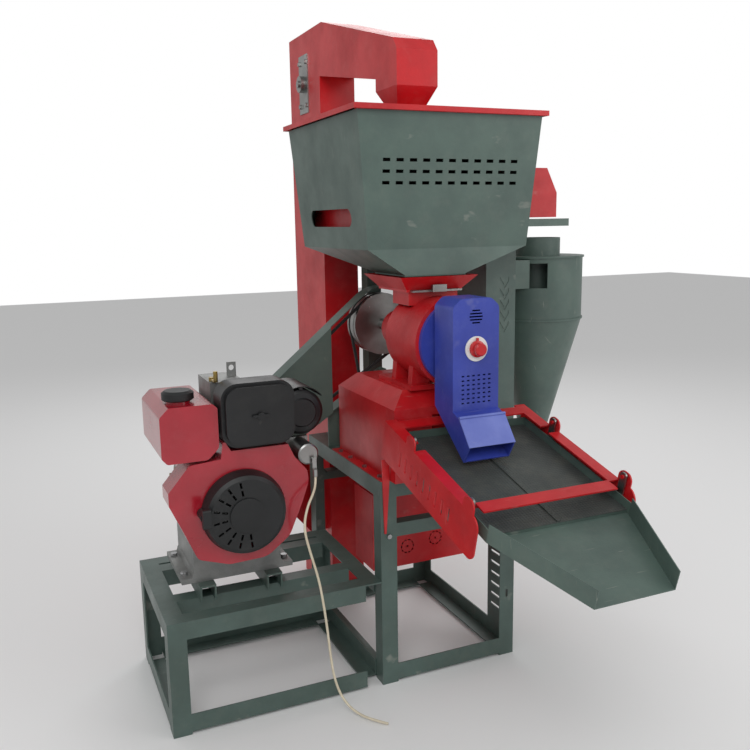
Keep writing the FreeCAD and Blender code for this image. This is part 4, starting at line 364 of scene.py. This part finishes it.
# Pressure-cast aluminium: grey, with sand-blasted grain
CAST_ALLOY = Finish(
    "pressure_cast_aluminium", "cast_alloy", "9a9b99", "7f8180", Grain.CAST, 3.5, 0.4, (0.42, 0.6),
    metallic=0.75, dust="5a554c", dust_share=0.35,
)
# Red paint over sand-cast iron: pebbled skin
CAST_RED = Finish(
    "painted_cast_iron_red", "cast_iron", "c4141b", "a90f17", Grain.CAST, 5, 0.35, (0.34, 0.5),
    dust="c08a84",
)
STEEL = Finish(
    "turned_steel", "steel", "a9aaa8", "8d8e8c", Grain.DRAWN, 1.6, 0.3, (0.26, 0.4), metallic=1.0,
    dust="5c564c", dust_share=0.3,
)
# Zinc plate with a yellow chromate: brassy
YELLOW_ZINC = Finish(
    "yellow_zinc_plate", "zinc", "b39a55", "9c8a58", Grain.DRAWN, 1.6, 0.25, (0.3, 0.44), metallic=0.9,
    dust="6b6048", dust_share=0.3, patch_mm=22,
)
BRIGHT_ZINC = Finish(
    "bright_zinc_plate", "zinc", "b6b7b8", "98999a", Grain.DRAWN, 1.6, 0.2, (0.28, 0.4), metallic=0.95,
    dust="6a675f", dust_share=0.25, patch_mm=18,
)
WHITE_PLATE = Finish(
    "printed_white_plate", "white_plate", "e6e6e4", "d8d8d6", Grain.MOULDED, 3, 0.08, (0.36, 0.46),
    dust="a5a39c", dust_share=0.1,
)
RED_PLASTIC = Finish(
    "moulded_red_phenolic", "red_plastic", "c8121a", "b30d15", Grain.MOULDED, 3, 0.12, (0.24, 0.34),
    coat=0.3,
)
RUBBER = Finish(
    "belt_rubber", "belt_rubber", "1c1c1c", "141414", Grain.MOULDED, 2, 0.35, (0.6, 0.75),
    dust="5a5650", dust_share=0.3,
)
CREAM = Finish(
    "cream_pvc", "cream_cable", "d9cfb8", "cdc2a9", Grain.MOULDED, 3, 0.1, (0.4, 0.5), dust="7a7362",
    dust_share=0.3, patch_mm=40,
)
# Woven wire drawn at a 4 mm pitch over the grey-green tray
MESH = Finish(
    "woven_wire", "steel", "5a5f5c", "4a4f4d", Grain.WOVEN, 4, 1.0, (0.4, 0.55), metallic=0.5,
    dust="8a8678", dust_share=0.3,
)

NODE_FINISH = {
    GREY_GREEN: ("main_frame", "engine_frame", "engine_rails", "hopper_posts"),
    HOPPER_GREEN: (
        "hopper_body", "hopper_funnel", "impurity_chute", "cyclone_body", "cyclone_duct", "belt_cover",
        "screen_tray",
    ),
    SIGNAL_RED: (
        "mill_base", "inlet_funnel", "hopper_lid", "paddy_screen", "elevator_casing", "elevator_arm",
        "elevator_spout", "feed_boot", "blower_box", "dust_hood", "screen_frame",
    ),
    CAST_RED: ("mill_stand", "milling_cylinder", "mill_bearings"),
    CRIMSON: ("fan_cowl", "fuel_tank"),
    BLUE: ("outlet_flange", "outlet_head"),
    # The whole outlet flap takes the paled blue, a painted highlight of the outlet head's paint
    FLAP_BLUE_PAINTED_HIGHLIGHT: ("outlet_flap",),
    BLACK_PAINT: ("air_cleaner", "muffler", "muffler_guard"),
    BLACK_PLASTIC: ("recoil_starter", "starter_handle", "fuel_cap"),
    CAST_ALLOY: ("crankcase", "cylinder_head"),
    STEEL: (
        "crankshaft", "starter_motor", "mill_sieve", "mill_rotor", "feed_gate", "takeup_bearings",
        "head_drum",
        "boot_drum", "blower_wheel", "rear_hangers", "front_hangers",
    ),
    YELLOW_ZINC: ("speed_lever", "injection_pump", "decompression_lever"),
    BRIGHT_ZINC: ("fasteners",),
    WHITE_PLATE: ("dial_plate",),
    RED_PLASTIC: ("pressure_knob",),
    RUBBER: ("bucket_belt", "main_belt", "blower_belt"),
    MESH: ("screen_mesh",),
    CREAM: ("battery_lead",),
}


def dress(piece: bpy.types.Object, finish: Finish) -> None:
    """Put one finish on every face of a piece.

    Args:
        piece: Mesh or curve object.
        finish: Finish that it takes.
    """
    piece.data.materials.clear()
    piece.data.materials.append(finish.material())


# ------------------------------------------------------------------ the machine


class Machine:
    """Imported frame, and the places measured from its main frame."""

    def __init__(self) -> None:
        """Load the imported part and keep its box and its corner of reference."""
        self.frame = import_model()
        self.cad_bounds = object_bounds()
        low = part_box("main_frame")[0]
        self.corner = Vector((low.x, low.y, 0.0))

    def at(self, x: float, y: float, z: float) -> Vector:
        """Place of a point that is given from the main frame's near left foot.

        Args:
            x: Millimetres to the right.
            y: Millimetres to the back.
            z: Millimetres above the floor.

        Returns:
            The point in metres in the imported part's frame.
        """
        return self.corner + Vector((x, y, z)) * MM

    def dress_nodes(self) -> None:
        """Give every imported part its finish."""
        for finish, names in NODE_FINISH.items():
            for name in names:
                dress(self.frame["nodes"][name], finish)
            LOG.info("%s on %s", finish.name, ", ".join(names))


@dataclass
class BatteryLead:
    """Cream lead that hangs from the starter motor and runs out over the floor."""

    radius: float = 0.0035
    length: float = 0.8
    order: int = 3
    steps: int = 12
    ring_steps: int = 4
    route: tuple[tuple[float, float, float], ...] = (
        (-184, 24, 662), (-184, 24, 645), (-196, 4, 626), (-226, -18, 590), (-240, -28, 538), (-226,
        -34, 470),
        (-205, -37, 392), (-193, -38, 314), (-184, -38, 236), (-178, -40, 160), (-172, -48, 94),
        (-160, -70, 44), (-140, -104, 16), (-112, -148, 8), (-72, -190, 7),
    )

    def build(self, machine: Machine) -> bpy.types.Object:
        """Make the lead as one smooth curve.

        Args:
            machine: Places and bodies.

        Returns:
            The curve object.
        """
        curve = bpy.data.curves.new("lead", "CURVE")
        curve.dimensions = "3D"
        curve.bevel_depth = self.radius
        curve.bevel_resolution = self.ring_steps
        curve.use_fill_caps = True
        spline = curve.splines.new("NURBS")
        spline.points.add(len(self.route) - 1)
        for point, place in zip(spline.points, self.route):
            point.co = (*machine.at(*place), 1.0)
        spline.order_u = self.order
        spline.use_endpoint_u = True
        spline.resolution_u = self.steps
        piece = bpy.data.objects.new("starter_lead", curve)
        bpy.context.scene.collection.objects.link(piece)
        dress(piece, CREAM)
        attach(piece, "frame")
        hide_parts("battery_lead")
        return piece


# ------------------------------------------------------------------ studio


@dataclass(frozen=True)
class Lamp:
    """Square area lamp turned to the machine."""

    name: str
    place: tuple[float, float, float]
    side: float
    power: float

    def hang(self, aim: tuple[float, float, float]) -> None:
        """Hang the lamp at its place.

        Args:
            aim: Point in metres that it shines at.
        """
        data = bpy.data.lights.new(self.name, "AREA")
        data.size, data.energy = self.side, self.power
        lamp = bpy.data.objects.new(self.name, data)
        bpy.context.scene.collection.objects.link(lamp)
        turn = (Vector(aim) - Vector(self.place)).to_track_quat("-Z", "Y").to_matrix().to_4x4()
        lamp.matrix_world = Matrix.Translation(self.place) @ turn


@dataclass
class Studio:
    """Floor, soft lamps and the camera."""

    focal_mm: float = 39.906
    sensor_mm: float = 36.0
    far_clip: float = 100.0
    yaw: float = 23.685
    pitch: float = 10.428
    roll: float = 0.938
    camera_place: tuple[float, float, float] = (-913.5, -2058.4, 1347.4)
    floor_side: float = 14.0
    floor_colour: str = "ececec"
    floor_rough: float = 0.9
    floor_specular: float = 0.1
    world_light: float = 0.55
    world_seen: float = 1.0
    lamps: tuple[Lamp, ...] = (
        Lamp("key", (-1.6, -3.2, 3.4), 2.4, 62.0),
        Lamp("fill", (3.0, -2.6, 2.2), 2.6, 34.0),
        Lamp("rim", (1.2, 3.4, 3.4), 2.6, 40.0),
    )
    lamp_aim: tuple[float, float, float] = (0.0, 0.0, 0.9)

    def aim_camera(self, machine: Machine) -> None:
        """Stand the camera at the measured place, turned by yaw, pitch and roll.

        Args:
            machine: Places.
        """
        yaw, pitch, roll = (math.radians(angle) for angle in (self.yaw, self.pitch, self.roll))
        forward = Vector((math.sin(yaw) * math.cos(pitch), math.cos(yaw) * math.cos(pitch), -math.sin(pitch)))
        level = Vector((math.cos(yaw), -math.sin(yaw), 0.0))
        down = forward.cross(level)
        right = math.cos(roll) * level + math.sin(roll) * down
        low = -math.sin(roll) * level + math.cos(roll) * down
        data = bpy.data.cameras.new("camera")
        data.lens, data.sensor_width, data.clip_end = self.focal_mm, self.sensor_mm, self.far_clip
        camera = bpy.data.objects.new("camera", data)
        bpy.context.scene.collection.objects.link(camera)
        turn = Matrix((right, -low, -forward)).transposed()
        camera.matrix_world = Matrix.Translation(machine.at(*self.camera_place)) @ turn.to_4x4()
        bpy.context.scene.camera = camera

    def lay_floor(self) -> None:
        """Lay a wide pale floor that keeps the machine's shadow."""
        side = self.floor_side
        mesh = bpy.data.meshes.new("floor")
        corners = [(-side, -side, 0), (side, -side, 0), (side, side, 0), (-side, side, 0)]
        mesh.from_pydata(corners, [], [(0, 1, 2, 3)])
        floor = bpy.data.objects.new("floor", mesh)
        bpy.context.scene.collection.objects.link(floor)
        material = bpy.data.materials.new("pale_floor")
        material.use_nodes = True
        shader = material.node_tree.nodes["Principled BSDF"]
        shader.inputs["Base Color"].default_value = linear(self.floor_colour)
        shader.inputs["Roughness"].default_value = self.floor_rough
        shader.inputs["Specular IOR Level"].default_value = self.floor_specular
        mesh.materials.append(material)
        floor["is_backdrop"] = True

    def light(self) -> None:
        """Set the pale world and three soft lamps."""
        world = bpy.data.worlds.new("studio")
        bpy.context.scene.world = world
        world.use_nodes = True
        tree = world.node_tree
        back = tree.nodes["Background"]
        back.inputs["Color"].default_value = (1, 1, 1, 1)
        rays = add_node(tree, "ShaderNodeLightPath")
        seen = add_node(
            tree, "ShaderNodeMath", {0: rays.outputs["Is Camera Ray"],
            1: rays.outputs["Is Transmission Ray"]},
            operation="MAXIMUM",
        )
        strength = add_node(
            tree, "ShaderNodeMapRange", {"Value": seen.outputs[0]},
            {"To Min": self.world_light, "To Max": self.world_seen},
        )
        tree.links.new(strength.outputs["Result"], back.inputs["Strength"])
        for lamp in self.lamps:
            lamp.hang(self.lamp_aim)

    def build(self, machine: Machine) -> None:
        """Set up camera, floor and light.

        Args:
            machine: Places.
        """
        self.aim_camera(machine)
        self.lay_floor()
        self.light()
        bpy.context.scene.view_settings.view_transform = "Standard"


def main() -> None:
    """Build the machine's looks in order and report each piece."""
    logging.basicConfig(level=logging.INFO, format="%(message)s")
    machine = Machine()
    Studio().build(machine)
    LOG.info("%s", BatteryLead().build(machine).name)
    machine.dress_nodes()
    bpy.context.view_layer.update()


if __name__ == "__main__":
    main()
